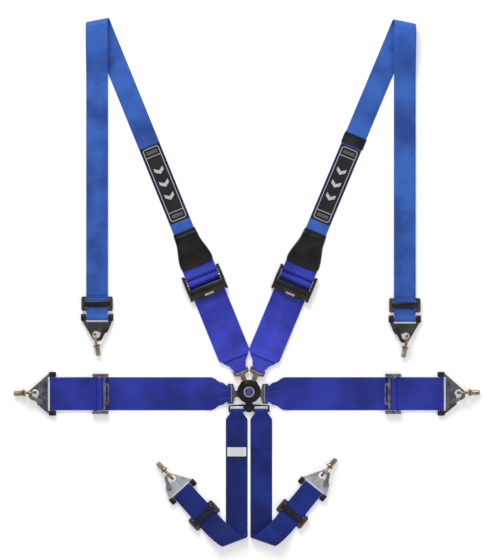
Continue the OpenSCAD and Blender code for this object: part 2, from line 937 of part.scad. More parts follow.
// Places on the six straps, all drawn along +X from the hook bar
module at_shoulder_hook(right, d = 0) {
    a = right ? dir_shoulder_right : dir_shoulder_left;
    on_tail(on_axis(shoulder_fold_r, a), a, right ? fold_turn_right : fold_turn_left,
        shoulder_fold_h, shoulder_tail_l - d)
        children();
}

module at_lap_hook(right) {
    aim(right ? 0 : 180, -lap_drop)
        translate([(right ? lap_adjuster_right : lap_adjuster_left) + lap_anchor_l, 0, 0])
            children();
}

module at_crotch_hook(right, d = 0) {
    on_tail(right ? crotch_right : crotch_left, 270,
        right ? crotch_turn_right : crotch_turn_left, crotch_fold_h, crotch_tail_l - d,
        right ? crotch_sway : -crotch_sway)
        children();
}

black_steel = [0.25, 0.25, 0.25];
grey_steel = [0.47, 0.46, 0.5];
zinc = [0.72, 0.74, 0.77];
gold_zinc = [0.68, 0.58, 0.42];

back_plate();
housing();
lever();
badge();
lock_pins();
return_spring();
case_screws();
shoulder_tongue(dir_shoulder_left);  // shoulder_tongue_left
shoulder_tongue(dir_shoulder_right);  // shoulder_tongue_right
lap_tongue(180, lap_bar_left);  // lap_tongue_left
lap_tongue(0, lap_bar_right);  // lap_tongue_right
crotch_tongue();
shoulder_lower_strap(dir_shoulder_left);  // shoulder_lower_strap_left
shoulder_lower_strap(dir_shoulder_right);  // shoulder_lower_strap_right
shoulder_adjuster(dir_shoulder_left);  // shoulder_adjuster_left
shoulder_adjuster(dir_shoulder_right);  // shoulder_adjuster_right
shoulder_adjuster_bar(dir_shoulder_left);  // shoulder_adjuster_bar_left
shoulder_adjuster_bar(dir_shoulder_right);  // shoulder_adjuster_bar_right
shoulder_upper_strap(dir_shoulder_left, fold_turn_left);  // shoulder_upper_strap_left
shoulder_upper_strap(dir_shoulder_right, fold_turn_right);  // shoulder_upper_strap_right
shoulder_cover(dir_shoulder_left);  // shoulder_cover_left
shoulder_cover(dir_shoulder_right);  // shoulder_cover_right
shoulder_label(dir_shoulder_left);  // shoulder_label_left
shoulder_label(dir_shoulder_right);  // shoulder_label_right
shoulder_tail(dir_shoulder_left, fold_turn_left);  // shoulder_tail_left
shoulder_tail(dir_shoulder_right, fold_turn_right);  // shoulder_tail_right
at_shoulder_hook(false, shoulder_slide_d) three_bar_slide();  // shoulder_slide_left
at_shoulder_hook(true, shoulder_slide_d) three_bar_slide();  // shoulder_slide_right
lap_strap(180, lap_bar_left, lap_adjuster_left);  // lap_strap_left
lap_strap(0, lap_bar_right, lap_adjuster_right);  // lap_strap_right
lap_adjuster(180, lap_adjuster_left);  // lap_adjuster_left_frame
lap_adjuster(0, lap_adjuster_right);  // lap_adjuster_right_frame
lap_adjuster_bar(180, lap_adjuster_left);  // lap_adjuster_bar_left
lap_adjuster_bar(0, lap_adjuster_right);  // lap_adjuster_bar_right
lap_anchor_strap(180, lap_adjuster_left);  // lap_anchor_strap_left
lap_anchor_strap(0, lap_adjuster_right);  // lap_anchor_strap_right
crotch_strap(-1, crotch_turn_left);  // crotch_strap_left
crotch_strap(1, crotch_turn_right);  // crotch_strap_right
crotch_tail(-1, crotch_turn_left);  // crotch_tail_left
crotch_tail(1, crotch_turn_right);  // crotch_tail_right
at_crotch_hook(false, crotch_slide_d) three_bar_slide();  // crotch_slide_left
at_crotch_hook(true, crotch_slide_d) three_bar_slide();  // crotch_slide_right
color(black_steel) at_shoulder_hook(false) hook(narrow_w, 1);  // shoulder_hook_left
color(black_steel) at_shoulder_hook(true) hook(narrow_w, -1);  // shoulder_hook_right
color(grey_steel) at_lap_hook(false) hook(wide_w, 1);  // lap_hook_left
color(grey_steel) at_lap_hook(true) hook(wide_w, -1);  // lap_hook_right
color(zinc) at_crotch_hook(false) hook(narrow_w, 1);  // crotch_hook_left
color(zinc) at_crotch_hook(true) hook(narrow_w, -1);  // crotch_hook_right
color(black_steel) at_shoulder_hook(false) gate(1);  // shoulder_gate_left
color(black_steel) at_shoulder_hook(true) gate(-1);  // shoulder_gate_right
color(grey_steel) at_lap_hook(false) gate(1);  // lap_gate_left
color(grey_steel) at_lap_hook(true) gate(-1);  // lap_gate_right
color(zinc) at_crotch_hook(false) gate(1);  // crotch_gate_left
color(zinc) at_crotch_hook(true) gate(-1);  // crotch_gate_right
color(gold_zinc) at_shoulder_hook(false) eye_bolt(1, 10);  // shoulder_eye_bolt_left
color(gold_zinc) at_shoulder_hook(true) eye_bolt(-1, -10);  // shoulder_eye_bolt_right
color(gold_zinc) at_lap_hook(false) eye_bolt(1, 4);  // lap_eye_bolt_left
color(gold_zinc) at_lap_hook(true) eye_bolt(-1, 0);  // lap_eye_bolt_right
color(gold_zinc) at_crotch_hook(false) eye_bolt(1, 3);  // crotch_eye_bolt_left
color(gold_zinc) at_crotch_hook(true) eye_bolt(-1, -3);  // crotch_eye_bolt_right
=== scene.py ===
"""Racing harness: webbing, covers, labels, stitching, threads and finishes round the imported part."""

import json
import math

import bpy
from mathutils import Matrix, Vector


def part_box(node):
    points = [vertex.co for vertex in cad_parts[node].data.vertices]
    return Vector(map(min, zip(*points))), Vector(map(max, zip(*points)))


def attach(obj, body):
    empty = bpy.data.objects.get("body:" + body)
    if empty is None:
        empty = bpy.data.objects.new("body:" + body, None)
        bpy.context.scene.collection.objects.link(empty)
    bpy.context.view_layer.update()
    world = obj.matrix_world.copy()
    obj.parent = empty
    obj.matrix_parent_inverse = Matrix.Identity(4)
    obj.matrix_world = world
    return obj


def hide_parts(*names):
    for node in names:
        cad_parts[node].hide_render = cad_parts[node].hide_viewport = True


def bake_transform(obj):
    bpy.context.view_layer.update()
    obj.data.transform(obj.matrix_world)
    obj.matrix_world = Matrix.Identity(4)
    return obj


bl_info = {
    "name": "Racing harness",
    "version": (1, 0, 0),
    "blender": (4, 5, 0),
    "location": "View3D > Sidebar > Harness",
    "description": "Builds the webbing, labels, stitching and finishes of a six-point harness",
    "category": "Add Mesh",
}

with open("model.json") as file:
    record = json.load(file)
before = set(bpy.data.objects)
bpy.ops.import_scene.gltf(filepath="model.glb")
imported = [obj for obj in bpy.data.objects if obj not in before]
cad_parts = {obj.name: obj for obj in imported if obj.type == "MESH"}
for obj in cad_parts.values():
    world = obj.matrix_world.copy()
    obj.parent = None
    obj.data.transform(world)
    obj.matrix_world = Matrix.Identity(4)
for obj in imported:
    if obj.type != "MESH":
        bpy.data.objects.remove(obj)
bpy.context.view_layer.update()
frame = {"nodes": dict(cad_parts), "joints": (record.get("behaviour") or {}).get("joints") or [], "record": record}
JOINTS = {j["name"]: j for j in frame["joints"]}
MM = 0.001
SIDES = ("left", "right")
WRAP = 4.0 * MM  # from a bar's axis to the middle of the webbing turned round it
FOLD_GAP = 0.8 * MM  # between the two layers above a fold
TAIL_END = 46 * MM  # how far before the hook's bar the tail's own piece ends
ADJUSTER_START = 20 * MM  # outlines on a shoulder adjuster start this far past its hinge
WELD = 0.01 * MM  # points nearer than this are merged
SHARP_EDGE = math.radians(50)
ROUNDED_SHARE = 0.3  # part of a cloth layer's thickness that its edge is rounded by


def joint_place(name):
    """Where a joint's axis runs, in metres."""
    return Vector(JOINTS[name]["pos_m"])


def joint_axis(name):
    """The direction of a joint's axis."""
    return Vector(JOINTS[name]["axis"])


def from_buckle(name):
    """How far a joint lies from the buckle's axis, seen from above."""
    return joint_place(name).xy.length


def strap_angle(name):
    """Direction in XY, in radians, of a strap that is lifted by this hinge."""
    axis = joint_axis(name)
    return math.atan2(axis.x, -axis.y)


def wide_webbing():
    """Width of the wide webbing, as the part has it."""
    low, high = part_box("lap_anchor_strap_left")
    return high.y - low.y


def thread_radius():
    """Radius of the eye bolts' threads, as the part has it."""
    for mount in frame["record"]["mounts"]:
        if mount["name"] == "lap_stud_left":
            return mount["dims"]["r_mm"] * MM
    raise RuntimeError("the part has no lap_stud_left mount")


# ---- What a user can change ----


def length(name, text, value):
    """A length in metres, shown in the scene's units."""
    return bpy.props.FloatProperty(
        name=name, description=text, default=value, min=0.0001, subtype="DISTANCE", unit="LENGTH"
    )


def colour(name, text, red, green, blue):
    """A colour given as 0 to 255 screen values."""
    return bpy.props.FloatVectorProperty(
        name=name,
        description=text,
        size=3,
        min=0.0,
        max=1.0,
        subtype="COLOR",
        default=tuple(screen_to_linear(v / 255) for v in (red, green, blue)),
    )


def screen_to_linear(v):
    """One channel from its screen value to its linear one."""
    return v / 12.92 if v <= 0.04045 else ((v + 0.055) / 1.055) ** 2.4


class HarnessSizes(bpy.types.PropertyGroup):
    """Sizes of the webbing and of what is sewn to it"""

    wide: length("Wide webbing", "Width of the lap and lower shoulder straps", wide_webbing())
    narrow: length("Narrow webbing", "Width of the upper shoulder and crotch straps", 50 * MM)
    layer: length("Webbing layer", "Thickness of one layer of webbing", 1.4 * MM)
    stitch: length("Stitch", "Length of one stitch", 3.2 * MM)
    thread: length("Sewing thread", "Thickness of the sewing thread", 0.7 * MM)
    pitch: length("Screw pitch", "Distance between two turns of the eye bolts' threads", 1.27 * MM)
    floor: length("Floor", "Width of the floor", 12.0)


class HarnessColours(bpy.types.PropertyGroup):
    """Colours of the webbing, the sewn pieces and the metal"""

    upper: colour("Upper shoulder webbing", "Light colour of the 2 inch straps", 62, 112, 206)
    upper_dark: colour("Upper shoulder shade", "Dark colour of the 2 inch straps", 32, 60, 136)
    lower: colour("Lower shoulder webbing", "Light colour of the 3 inch straps", 72, 84, 224)
    lower_dark: colour("Lower shoulder shade", "Dark colour of the 3 inch straps", 38, 46, 148)
    lap: colour("Lap webbing", "Light colour of the lap straps", 50, 64, 182)
    lap_dark: colour("Lap shade", "Dark colour of the lap straps", 28, 37, 118)
    crotch: colour("Crotch webbing", "Light colour of the crotch straps", 30, 54, 150)
    crotch_dark: colour("Crotch shade", "Dark colour of the crotch straps", 15, 27, 88)
    cover: colour("Cover", "Colour of the sewn covers", 12, 7, 9)
    label: colour("Label", "Ground colour of the shoulder labels", 20, 18, 22)
    mark: colour("Label lines", "Colour of the lines woven into the labels", 222, 222, 226)
    floor: colour("Floor", "Colour of the floor", 248, 248, 249)


# ---- Materials ----


class Wire:
    """A number that flows between shader nodes, with Python's operators"""

    def __init__(self, tree, socket):
        self.tree = tree
        self.socket = socket

    def math(self, operation, *others):
        node = self.tree.nodes.new("ShaderNodeMath")
        node.operation = operation
        for slot, value in zip(node.inputs, (self,) + others):
            if isinstance(value, Wire):
                self.tree.links.new(value.socket, slot)
            else:
                slot.default_value = value
        return Wire(self.tree, node.outputs[0])

    def __add__(self, other):
        return self.math("ADD", other)

    __radd__ = __add__

    def __sub__(self, other):
        return self.math("SUBTRACT", other)

    def __rsub__(self, other):
        return (self * -1).math("ADD", other)

    def __mul__(self, other):
        return self.math("MULTIPLY", other)

    __rmul__ = __mul__

    def __truediv__(self, other):
        return self.math("DIVIDE", other)

    def below(self, limit):
        return self.math("LESS_THAN", limit)

    def above(self, limit):
        return self.math("GREATER_THAN", limit)

    def wave(self):
        """0 to 1, once for each whole number"""
        return (self * (2 * math.pi)).math("SINE") * 0.5 + 0.5

    def zigzag(self, size):
        return self.math("PINGPONG", size)


class Finish:
    """A procedural material in the making"""

    def __init__(self, name):
        self.material = bpy.data.materials.new(name)
        self.material.use_nodes = True
        self.tree = self.material.node_tree
        self.tree.nodes.clear()

    def node(self, kind, settings=None, sockets=None):
        """A new node: its settings are set first, then the values or links of its sockets."""
        node = self.tree.nodes.new(kind)
        for name, value in (settings or {}).items():
            setattr(node, name, value)
        for name, value in (sockets or {}).items():
            slot = node.inputs[name]
            if isinstance(value, Wire):
                self.tree.links.new(value.socket, slot)
            elif isinstance(value, bpy.types.NodeSocket):
                self.tree.links.new(value, slot)
            else:
                slot.default_value = value
        return node

    def across_along(self):
        """The piece's own map: metres across the webbing from its middle, and along it."""
        uv = self.node("ShaderNodeUVMap", {"uv_map": "UVMap"}).outputs["UV"]
        parts = self.node("ShaderNodeSeparateXYZ", None, {"Vector": uv})
        return Wire(self.tree, parts.outputs["X"]), Wire(self.tree, parts.outputs["Y"])

    def place(self):
        return self.node("ShaderNodeTexCoord").outputs["Object"]

    def noise(self, scale, detail=3.0, rough=0.55):
        """0 to 1 noise over the piece"""
        node = self.node(
            "ShaderNodeTexNoise",
            None,
            {"Vector": self.place(), "Scale": scale, "Detail": detail, "Roughness": rough},
        )
        return Wire(self.tree, node.outputs["Fac"])

    def mix(self, factor, first, second):
        """A colour between two colours"""
        node = self.node("ShaderNodeMix", {"data_type": "RGBA"}, {"Factor": factor})
        for slot, value in ((node.inputs[6], first), (node.inputs[7], second)):
            if isinstance(value, bpy.types.NodeSocket):
                self.tree.links.new(value, slot)
            else:
                slot.default_value = (*value, 1.0)
        return node.outputs[2]

    def spread(self, value, low, high, bottom=0.0, top=1.0):
        """Stretches a number from low..high to bottom..top, smoothly."""
        node = self.node(
            "ShaderNodeMapRange",
            {"interpolation_type": "SMOOTHSTEP"},
            {"Value": value, 1: low, 2: high, 3: bottom, 4: top},
        )
        return Wire(self.tree, node.outputs[0])

    def bump(self, height, depth, strength=1.0):
        return self.node(
            "ShaderNodeBump", None, {"Height": height, "Distance": depth, "Strength": strength}
        ).outputs[0]

    def finish(self, base, rough, normal=None, **plain):
        """Joins it all to the surface. plain holds the numbers that are the same all over."""
        sockets = {"Base Color": base, "Roughness": rough}
        if normal is not None:
            sockets["Normal"] = normal
        sockets.update({k.replace("_", " "): v for k, v in plain.items()})
        if not isinstance(base, bpy.types.NodeSocket):
            sockets["Base Color"] = (*base, 1.0)
        shader = self.node("ShaderNodeBsdfPrincipled", None, sockets)
        self.node("ShaderNodeOutputMaterial", None, {"Surface": shader.outputs[0]})
        return self.material


def webbing_finish(name, light, dark, coarse=1.0):
    """Woven polyester: herringbone ribs, sheen and slight soiling."""
    m = Finish(name)
    across, along = m.across_along()
    chevron = (across + 0.2).zigzag(4.2 * MM * coarse) * 0.85
    twill = ((along + chevron) / (1.9 * MM * coarse)).wave()
    rib = ((across + 0.2) / (2.1 * MM * coarse)).wave()
    weave = twill * 0.7 + rib * 0.3
    cloud = m.noise(9.0, 3.0)
    streak = m.noise(130.0, 3.0)
    tone = weave * 0.42 + m.spread(cloud, 0.34, 0.66) * 0.42 + streak * 0.16
    base = m.mix(m.spread(tone, 0.1, 0.9), dark, light)
    rough = m.spread(cloud, 0.3, 0.7, 0.48, 0.62)
    normal = m.bump(weave + streak * 0.6, 0.3 * MM * coarse, 0.6)
    return m.finish(
        base, rough, normal, Sheen_Weight=0.06, Sheen_Roughness=0.4, Specular_IOR_Level=0.22
    )


def cover_finish(name, tone):
    """Coated cloth with a fine grain and rubbed, shinier places."""
    m = Finish(name)
    grain = m.noise(900.0, 4.0)
    worn_and_shaded = m.noise(22.0, 3.0)
    pale = tuple(v * 1.5 + 0.012 for v in tone)
    base = m.mix(m.spread(worn_and_shaded, 0.35, 0.75), tone, pale)
    normal = m.bump(grain + m.noise(70.0, 2.0) * 0.7, 0.35 * MM, 0.5)
    return m.finish(base, m.spread(worn_and_shaded, 0.3, 0.7, 0.36, 0.5), normal, Specular_IOR_Level=0.22)


def label_finish(name, ground, mark, patch_length, patch_width):
    """A woven patch: a rounded frame, a box at each end and three plain chevrons."""
    m = Finish(name)
    across, along = m.across_along()
    half = patch_width / 2
    middle = patch_length / 2
    x = across.math("ABSOLUTE")
    y = (along - middle).math("ABSOLUTE")
    inset, corner, line = 5.0 * MM, 5.0 * MM, 0.75 * MM
    cx = (x - (half - inset - corner)).math("MAXIMUM", 0.0)
    cy = (y - (middle - inset - corner)).math("MAXIMUM", 0.0)
    away = (cx * cx + cy * cy).math("SQRT")
    border = (away - corner).math("ABSOLUTE").below(line)
    inside = x.below(half - inset)
    box_line = (y - (middle - 25 * MM)).math("ABSOLUTE").below(line * 0.9) * inside
    fine = ((x + y * 3) / (2.6 * MM)).wave().above(0.6)
    in_box = (y - (middle - 15 * MM)).math("ABSOLUTE").below(4 * MM) * x.below(half - 10 * MM)
    step = 32 * MM
    rows_reach = 1.5 * step
    repeat = (along - middle + rows_reach).math("MODULO", step)
    arrow = (repeat - step / 2 - (x - 5 * MM) * 0.7).math("ABSOLUTE").below(4.4 * MM)
    field = y.below(rows_reach) * x.below(11 * MM)
    pattern = border.math("MAXIMUM", box_line).math("MAXIMUM", arrow * field)
    weave = (across / (0.9 * MM)).wave() * 0.5 + (along / (0.9 * MM)).wave() * 0.5
    faded = tuple(v * 2.2 + 0.02 for v in ground)
    cloth = m.mix(m.noise(40.0) * 0.6 + weave * 0.25, ground, faded)
    boxed = m.mix(in_box * fine * 0.3, cloth, mark)
    thread = tuple(v * 0.72 for v in mark)
    base = m.mix(pattern * (weave * 0.25 + 0.75), boxed, m.mix(weave, thread, mark))
    normal = m.bump(weave + pattern, 0.2 * MM, 0.6)
    return m.finish(base, weave * 0.12 + 0.6, normal, Specular_IOR_Level=0.2)


def thread_finish(name, tone):
    """Sewing thread, with the twist of its plies."""
    m = Finish(name)
    twist = m.noise(1500.0, 2.0)
    base = m.mix(twist, tuple(v * 0.55 for v in tone), tone)
    return m.finish(base, twist * 0.2 + 0.5, m.bump(twist, 0.1 * MM, 0.5), Sheen_Weight=0.2)


def metal_finish(name, tone, second, rough, spots=0.0):
    """Plated or bare metal: a fine grain, cloudy plating and small rubbed spots."""
    m = Finish(name)
    cloud = m.noise(55.0, 4.0)
    grain = m.noise(420.0, 2.0)
    base = m.mix(m.spread(cloud, 0.3, 0.7) * 0.8 + grain * 0.2, tone, second)
    if spots:
        wear = m.spread(m.noise(260.0, 5.0), 0.62, 0.72)
        base = m.mix(wear * spots, base, tuple(v * 0.35 for v in tone))
    roughness = m.spread(cloud, 0.3, 0.7, rough - 0.07, rough + 0.09) + grain * 0.08
    normal = m.bump(grain + cloud * 0.5, 0.05 * MM, 0.5)
    return m.finish(base, roughness, normal, Metallic=1.0)


def paint_finish(name, tone, rough, amount):
    """Painted or oxide-blacked metal with an orange-peel surface and rubbed specks."""
    m = Finish(name)
    cloud = m.noise(45.0, 3.0)
    peel = m.noise(700.0, 2.0)
    specks = m.spread(m.noise(330.0, 6.0, 0.7), 0.66, 0.74) * amount
    worn_and_shaded = (0.3, 0.3, 0.31)
    lift = tuple(v * 1.7 + 0.006 for v in tone)
    base = m.mix(specks, m.mix(m.spread(cloud, 0.3, 0.7), tone, lift), worn_and_shaded)
    roughness = m.spread(cloud, 0.3, 0.7, rough - 0.06, rough + 0.08) + peel * 0.06
    normal = m.bump(peel + cloud * 0.4, 0.07 * MM, 0.5)
    return m.finish(base, roughness, normal, Specular_IOR_Level=0.3)


def badge_finish(name, centre, ring_radius):
    """A plain domed badge: a metal rim round a deep violet field with a brushed swirl."""
    m = Finish(name)
    parts = m.node("ShaderNodeSeparateXYZ", None, {"Vector": m.place()})
    x = Wire(m.tree, parts.outputs["X"]) - centre.x
    y = Wire(m.tree, parts.outputs["Y"]) - centre.y
    away = (x * x + y * y).math("SQRT")
    rim = m.spread(away, ring_radius - 0.4 * MM, ring_radius)
    cloud = m.noise(160.0, 3.0)
    field = m.mix(m.spread(cloud, 0.35, 0.65), (0.05, 0.035, 0.2), (0.13, 0.1, 0.36))
    base = m.mix(rim, field, (0.62, 0.6, 0.66))
    rough = rim * 0.12 + 0.2
    return m.finish(base, rough, m.bump(rim + cloud * 0.1, 0.2 * MM, 0.5), Coat_Weight=0.6, Metallic=0.45)


def floor_finish(name, tone):
    """Plain pale floor with a barely visible mottle."""
    m = Finish(name)
    base = m.mix(m.noise(3.0) * 0.4, tone, tuple(v * 0.985 for v in tone))
    return m.finish(
        base, 0.8, None, Specular_IOR_Level=0.0, Emission_Color=(1.0, 1.0, 1.0, 1.0), Emission_Strength=0.3
    )


# ---- Making meshes ----


def deselect():
    """Leaves edit mode and selects nothing."""
    if bpy.context.mode != "OBJECT":
        bpy.ops.object.mode_set(mode="OBJECT")
    bpy.ops.object.select_all(action="DESELECT")


def choose(piece):
    """Selects one piece and makes it the active one."""
    deselect()
    piece.select_set(True)
    bpy.context.view_layer.objects.active = piece


def name_new(name, finish):
    """Names the piece that was just added and gives it its material."""
    piece = bpy.context.active_object
    piece.name = name
    piece.data.name = name
    piece.data.materials.clear()
    piece.data.materials.append(finish)
    return piece


def add_modifier(piece, kind, **settings):
    """Adds a modifier and applies it."""
    choose(piece)
    modifier = piece.modifiers.new(kind.title(), kind)
    for key, value in settings.items():
        setattr(modifier, key, value)
    bpy.ops.object.modifier_apply(modifier=modifier.name)


def smooth(piece, degrees=40):
    """Shades a piece smooth, apart from its sharper edges."""
    choose(piece)
    bpy.ops.object.shade_smooth_by_angle(angle=math.radians(degrees))


def weld(piece):
    """Merges a closed piece's doubled points and turns its faces outwards."""
    choose(piece)
    bpy.ops.object.mode_set(mode="EDIT")
    bpy.ops.mesh.select_all(action="SELECT")
    bpy.ops.mesh.remove_doubles(threshold=WELD)
    bpy.ops.mesh.normals_make_consistent(inside=False)
    bpy.ops.object.mode_set(mode="OBJECT")


def cloth_grid(name, finish, columns, rows, where):
    """A grid whose point at row 0..1 and column -1..1 goes to where(row, column), which gives its
    place, metres across and metres along."""
    deselect()
    bpy.ops.mesh.primitive_grid_add(x_subdivisions=columns, y_subdivisions=rows, size=2.0)
    piece = name_new(name, finish)
    mesh = piece.data
    pattern = {}
    for vertex in mesh.vertices:
        place, across, along = where((vertex.co.y + 1) / 2, vertex.co.x)
        vertex.co = place
        pattern[vertex.index] = (across, along)
    layer = mesh.uv_layers.active
    layer.name = "UVMap"
    for loop in mesh.loops:
        layer.data[loop.index].uv = pattern[loop.vertex_index]
    mesh.update()
    return piece


def round_edges(piece, width, segments):
    """Bevels a piece's sharp edges."""
    add_modifier(
        piece, "BEVEL", width=width, segments=segments, limit_method="ANGLE", angle_limit=SHARP_EDGE
    )


def give_thickness(piece, thickness):
    """Makes a cloth grid a closed layer with rounded edges."""
    add_modifier(piece, "SOLIDIFY", thickness=thickness, offset=0.0)
    round_edges(piece, thickness * ROUNDED_SHARE, 2)
    smooth(piece)
    return piece


def to_harness(angle, side_shift=0.0):
    """From a strap drawn along +X to its place round the buckle."""
    return Matrix.Translation((0, side_shift, 0)) @ Matrix.Rotation(angle, 4, "Z")


class Course:
    """A line in the side view of a strap, given by points (distance, height) in metres"""

    def __init__(self, points):
        self.points = [Vector((x, z)) for x, z in points]
        self.reach = [0.0]
        for a, b in zip(self.points, self.points[1:]):
            self.reach.append(self.reach[-1] + (b - a).length)

    def at(self, share):
        """The point at a share of the length, and its distance along."""
        along = share * self.reach[-1]
        for i in range(1, len(self.reach)):
            if along <= self.reach[i] or i == len(self.reach) - 1:
                step = self.reach[i] - self.reach[i - 1]
                k = (along - self.reach[i - 1]) / step if step else 0.0
                return self.points[i - 1].lerp(self.points[i], min(max(k, 0.0), 1.0)), along


def arc(x, z, radius, start, end, steps=14):
    """Points round a bar, from one angle to another in degrees."""
    turn = [math.radians(start + (end - start) * i / steps) for i in range(steps + 1)]
    return [(x + radius * math.cos(a), z + radius * math.sin(a)) for a in turn]


def eased(points, rounds):
    """Rounds the corners of a line by cutting them."""
    for _ in range(rounds):
        made = [points[0]]
        for (ax, az), (bx, bz) in zip(points, points[1:]):
            made.append((ax * 0.75 + bx * 0.25, az * 0.75 + bz * 0.25))
            made.append((ax * 0.25 + bx * 0.75, az * 0.25 + bz * 0.75))
        made.append(points[-1])
        points = made
    return points


def between(value, stops):
    """The width or height at a distance, from (distance, value) stops, with soft turns."""
    if value <= stops[0][0]:
        return stops[0][1]
    for (a, va), (b, vb) in zip(stops, stops[1:]):
        if value <= b:
            k = (value - a) / (b - a)
            return va + (vb - va) * k * k * (3 - 2 * k)
    return stops[-1][1]


def strap_run(name, finish, line, half, place, layer, rows, columns=12, pleat=None):
    """Webbing along a line in the side view. half(x) is half its width at the distance x, and
    pleat(x, column) lifts it."""
    course = Course(line)

    def where(row, column):
        point, run = course.at(row)
        wide = half(point.x) * column
        lift = pleat(point.x, column) if pleat else 0.0
        return place @ Vector((point.x, wide, point.y + lift)), wide, run

    piece = cloth_grid(name, finish, columns, rows, where)
    return give_thickness(piece, layer)


def round_bar(name, finish, size, place, body, edge=0.3):
    """A bar with an oval section: size is its extent along X, along Y (its length) and along Z."""
    deselect()
    bpy.ops.mesh.primitive_cylinder_add(
        vertices=28, radius=0.5, depth=1.0, rotation=(math.pi / 2, 0, 0), end_fill_type="NGON"
    )
    piece = name_new(name, finish)
    bpy.ops.object.transform_apply(location=True, rotation=True, scale=True)
    for vertex in piece.data.vertices:
        vertex.co = (vertex.co.x * size[0], vertex.co.y * size[1], vertex.co.z * size[2])
    round_edges(piece, min(size) * edge, 3)
    piece.data.transform(place)
    smooth(piece)
    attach(piece, body)
    return piece


def bowed_bar(name, finish, centre, radius, tube, start, end, body):
    """A round bar bent round the buckle's axis, from one angle to another in degrees."""

    def where(row, column):
        turn = math.radians(start + (end - start) * row)
        slim = tube * max(1 - (2 * row - 1) ** 8, 0.0) ** 0.5
        out = radius + slim * math.cos(math.pi * column)
        up = centre.z + slim * 0.8 * math.sin(math.pi * column)
        return Vector((centre.x + out * math.cos(turn), centre.y + out * math.sin(turn), up)), column, row

    piece = cloth_grid(name, finish, 20, 48, where)
    weld(piece)
    smooth(piece)
    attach(piece, body)
    return piece


# ---- Folded straps ----


class Fold:
    """Where a strap turns over and comes back at an angle: a half turn round a lying cylinder"""

    def __init__(self, lift_joint, strap_joint, hook_joint, layer):
        self.centre = joint_place(lift_joint)
        line = joint_axis(lift_joint)
        self.turn = math.atan2(-line.x, line.y)
        self.strap = strap_angle(strap_joint)
        self.skew = math.remainder(self.turn - self.strap, 2 * math.pi)
        self.outer = self.centre.z - layer / 2
        self.inner = self.outer - layer - FOLD_GAP
        self.bar = joint_place(hook_joint)
        self.half_turn = math.pi * self.inner
        start = self.place(Vector((0, -self.half_turn * math.tan(self.skew), 0)))
        way = self.turn + math.pi + self.skew
        x, y = self.bar.x - start.x, self.bar.y - start.y
        self.tail = x * math.cos(way) + y * math.sin(way)
        self.sway = x * math.sin(way) - y * math.cos(way)
        self.reach = Vector((self.centre.x, self.centre.y, 0)).length

    def place(self, local):
        """From the fold's own frame to the harness."""
        x, y = local.x, local.y
        c, s = math.cos(self.turn), math.sin(self.turn)
        return Vector((self.centre.x + c * x - s * y, self.centre.y + s * x + c * y, local.z))

    def crossing(self, u, w):
        """How far along the strap its point w across is u beyond the fold line."""
        return (u - w * math.sin(self.skew)) / math.cos(self.skew)

    def point(self, s, w, drop=0.0):
        """The place s along the strap from the fold line and w across it, lowered by drop."""
        b = self.skew
        u = s * math.cos(b) + w * math.sin(b)
        v = -s * math.sin(b) + w * math.cos(b)
        zc = self.centre.z
        if u <= 0:
            return self.place(Vector((u, v, zc - self.outer)))
        if u < self.half_turn:
            a = u / self.inner
            k = a / math.pi
            r = self.outer + (self.inner - self.outer) * k * k * (3 - 2 * k)
            return self.place(Vector((r * math.sin(a), v, zc - r * math.cos(a))))
        return self.place(Vector((self.half_turn - u, v, zc + self.inner - drop)))


def folded_strap(label, finish, fold, half, layer, bodies, start, slope):
    """The run to the fold, the fold and the tail. The run and the tail each go on their own body, the fold on
    none.
    The tail comes down to the height of the hook's bar over the length of slope."""
    run_body, tail_body = bodies

    def run_point(row, column):
        w = half * column
        s = start + (fold.crossing(0.0, w) - start) * row
        return fold.point(s, w), w, s

    run = give_thickness(cloth_grid(f"{label}_run", finish, 10, 120, run_point), layer)
    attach(run, run_body)

    base = fold.half_turn / math.cos(fold.skew)
    flat = (fold.half_turn + half * abs(math.sin(fold.skew))) / math.cos(fold.skew) + MM
    bend_start = base * 0.1 - half * abs(math.tan(fold.skew))

    def drift(s):
        """How far the strap has moved aside at s."""
        return between(s, [(bend_start, 0.0), (flat + slope, fold.sway)])

    def fold_position(row, column):
        w = half * column
        s = fold.crossing(fold.half_turn * row, w)
        return fold.point(s, w + drift(s)), w, s

    bend = give_thickness(cloth_grid(f"{label}_fold", finish, 10, 28, fold_position), layer)
    low = fold.centre.copy()
    low.z = layer / 2
    high = fold.centre.copy()
    high.z = fold.centre.z + fold.inner
    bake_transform(bend)

    top = fold.centre.z + fold.inner
    bar_z = fold.bar.z
    sewn = base + fold.tail

    def tail_position(row, column):
        w = half * column
        s0 = fold.crossing(fold.half_turn, w)
        s = s0 + (sewn - TAIL_END - s0) * row
        drop = between(s, [(flat, 0.0), (flat + slope, top - bar_z)])
        return fold.point(s, w + drift(s), drop), w, s

    tail = give_thickness(cloth_grid(f"{label}_tail_run", finish, 10, 120, tail_position), layer)
    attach(tail, tail_body)

    line = eased(
        [(-TAIL_END, bar_z), (-38 * MM, bar_z + 0.8 * MM), (-12 * MM, bar_z + 0.85 * MM)]
        + arc(0, bar_z, WRAP, 104, -104, 16)
        + [(-12 * MM, bar_z - 0.85 * MM), (-40 * MM, bar_z - 0.8 * MM)],
        1,
    )
    course = Course(line)

    def loop_position(row, column):
        point, run_length = course.at(row)
        w = (half - 0.3 * MM * min(row * 12, 1)) * column
        place = fold.point(sewn + point.x, w + fold.sway, top - bar_z)
        place.z = point.y
        return place, w, sewn - TAIL_END + run_length

    loop = give_thickness(cloth_grid(f"{label}_hook_turn", finish, 10, 60, loop_position), layer)
    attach(loop, tail_body)
    return run, bend, tail, loop


# ---- Stitching ----


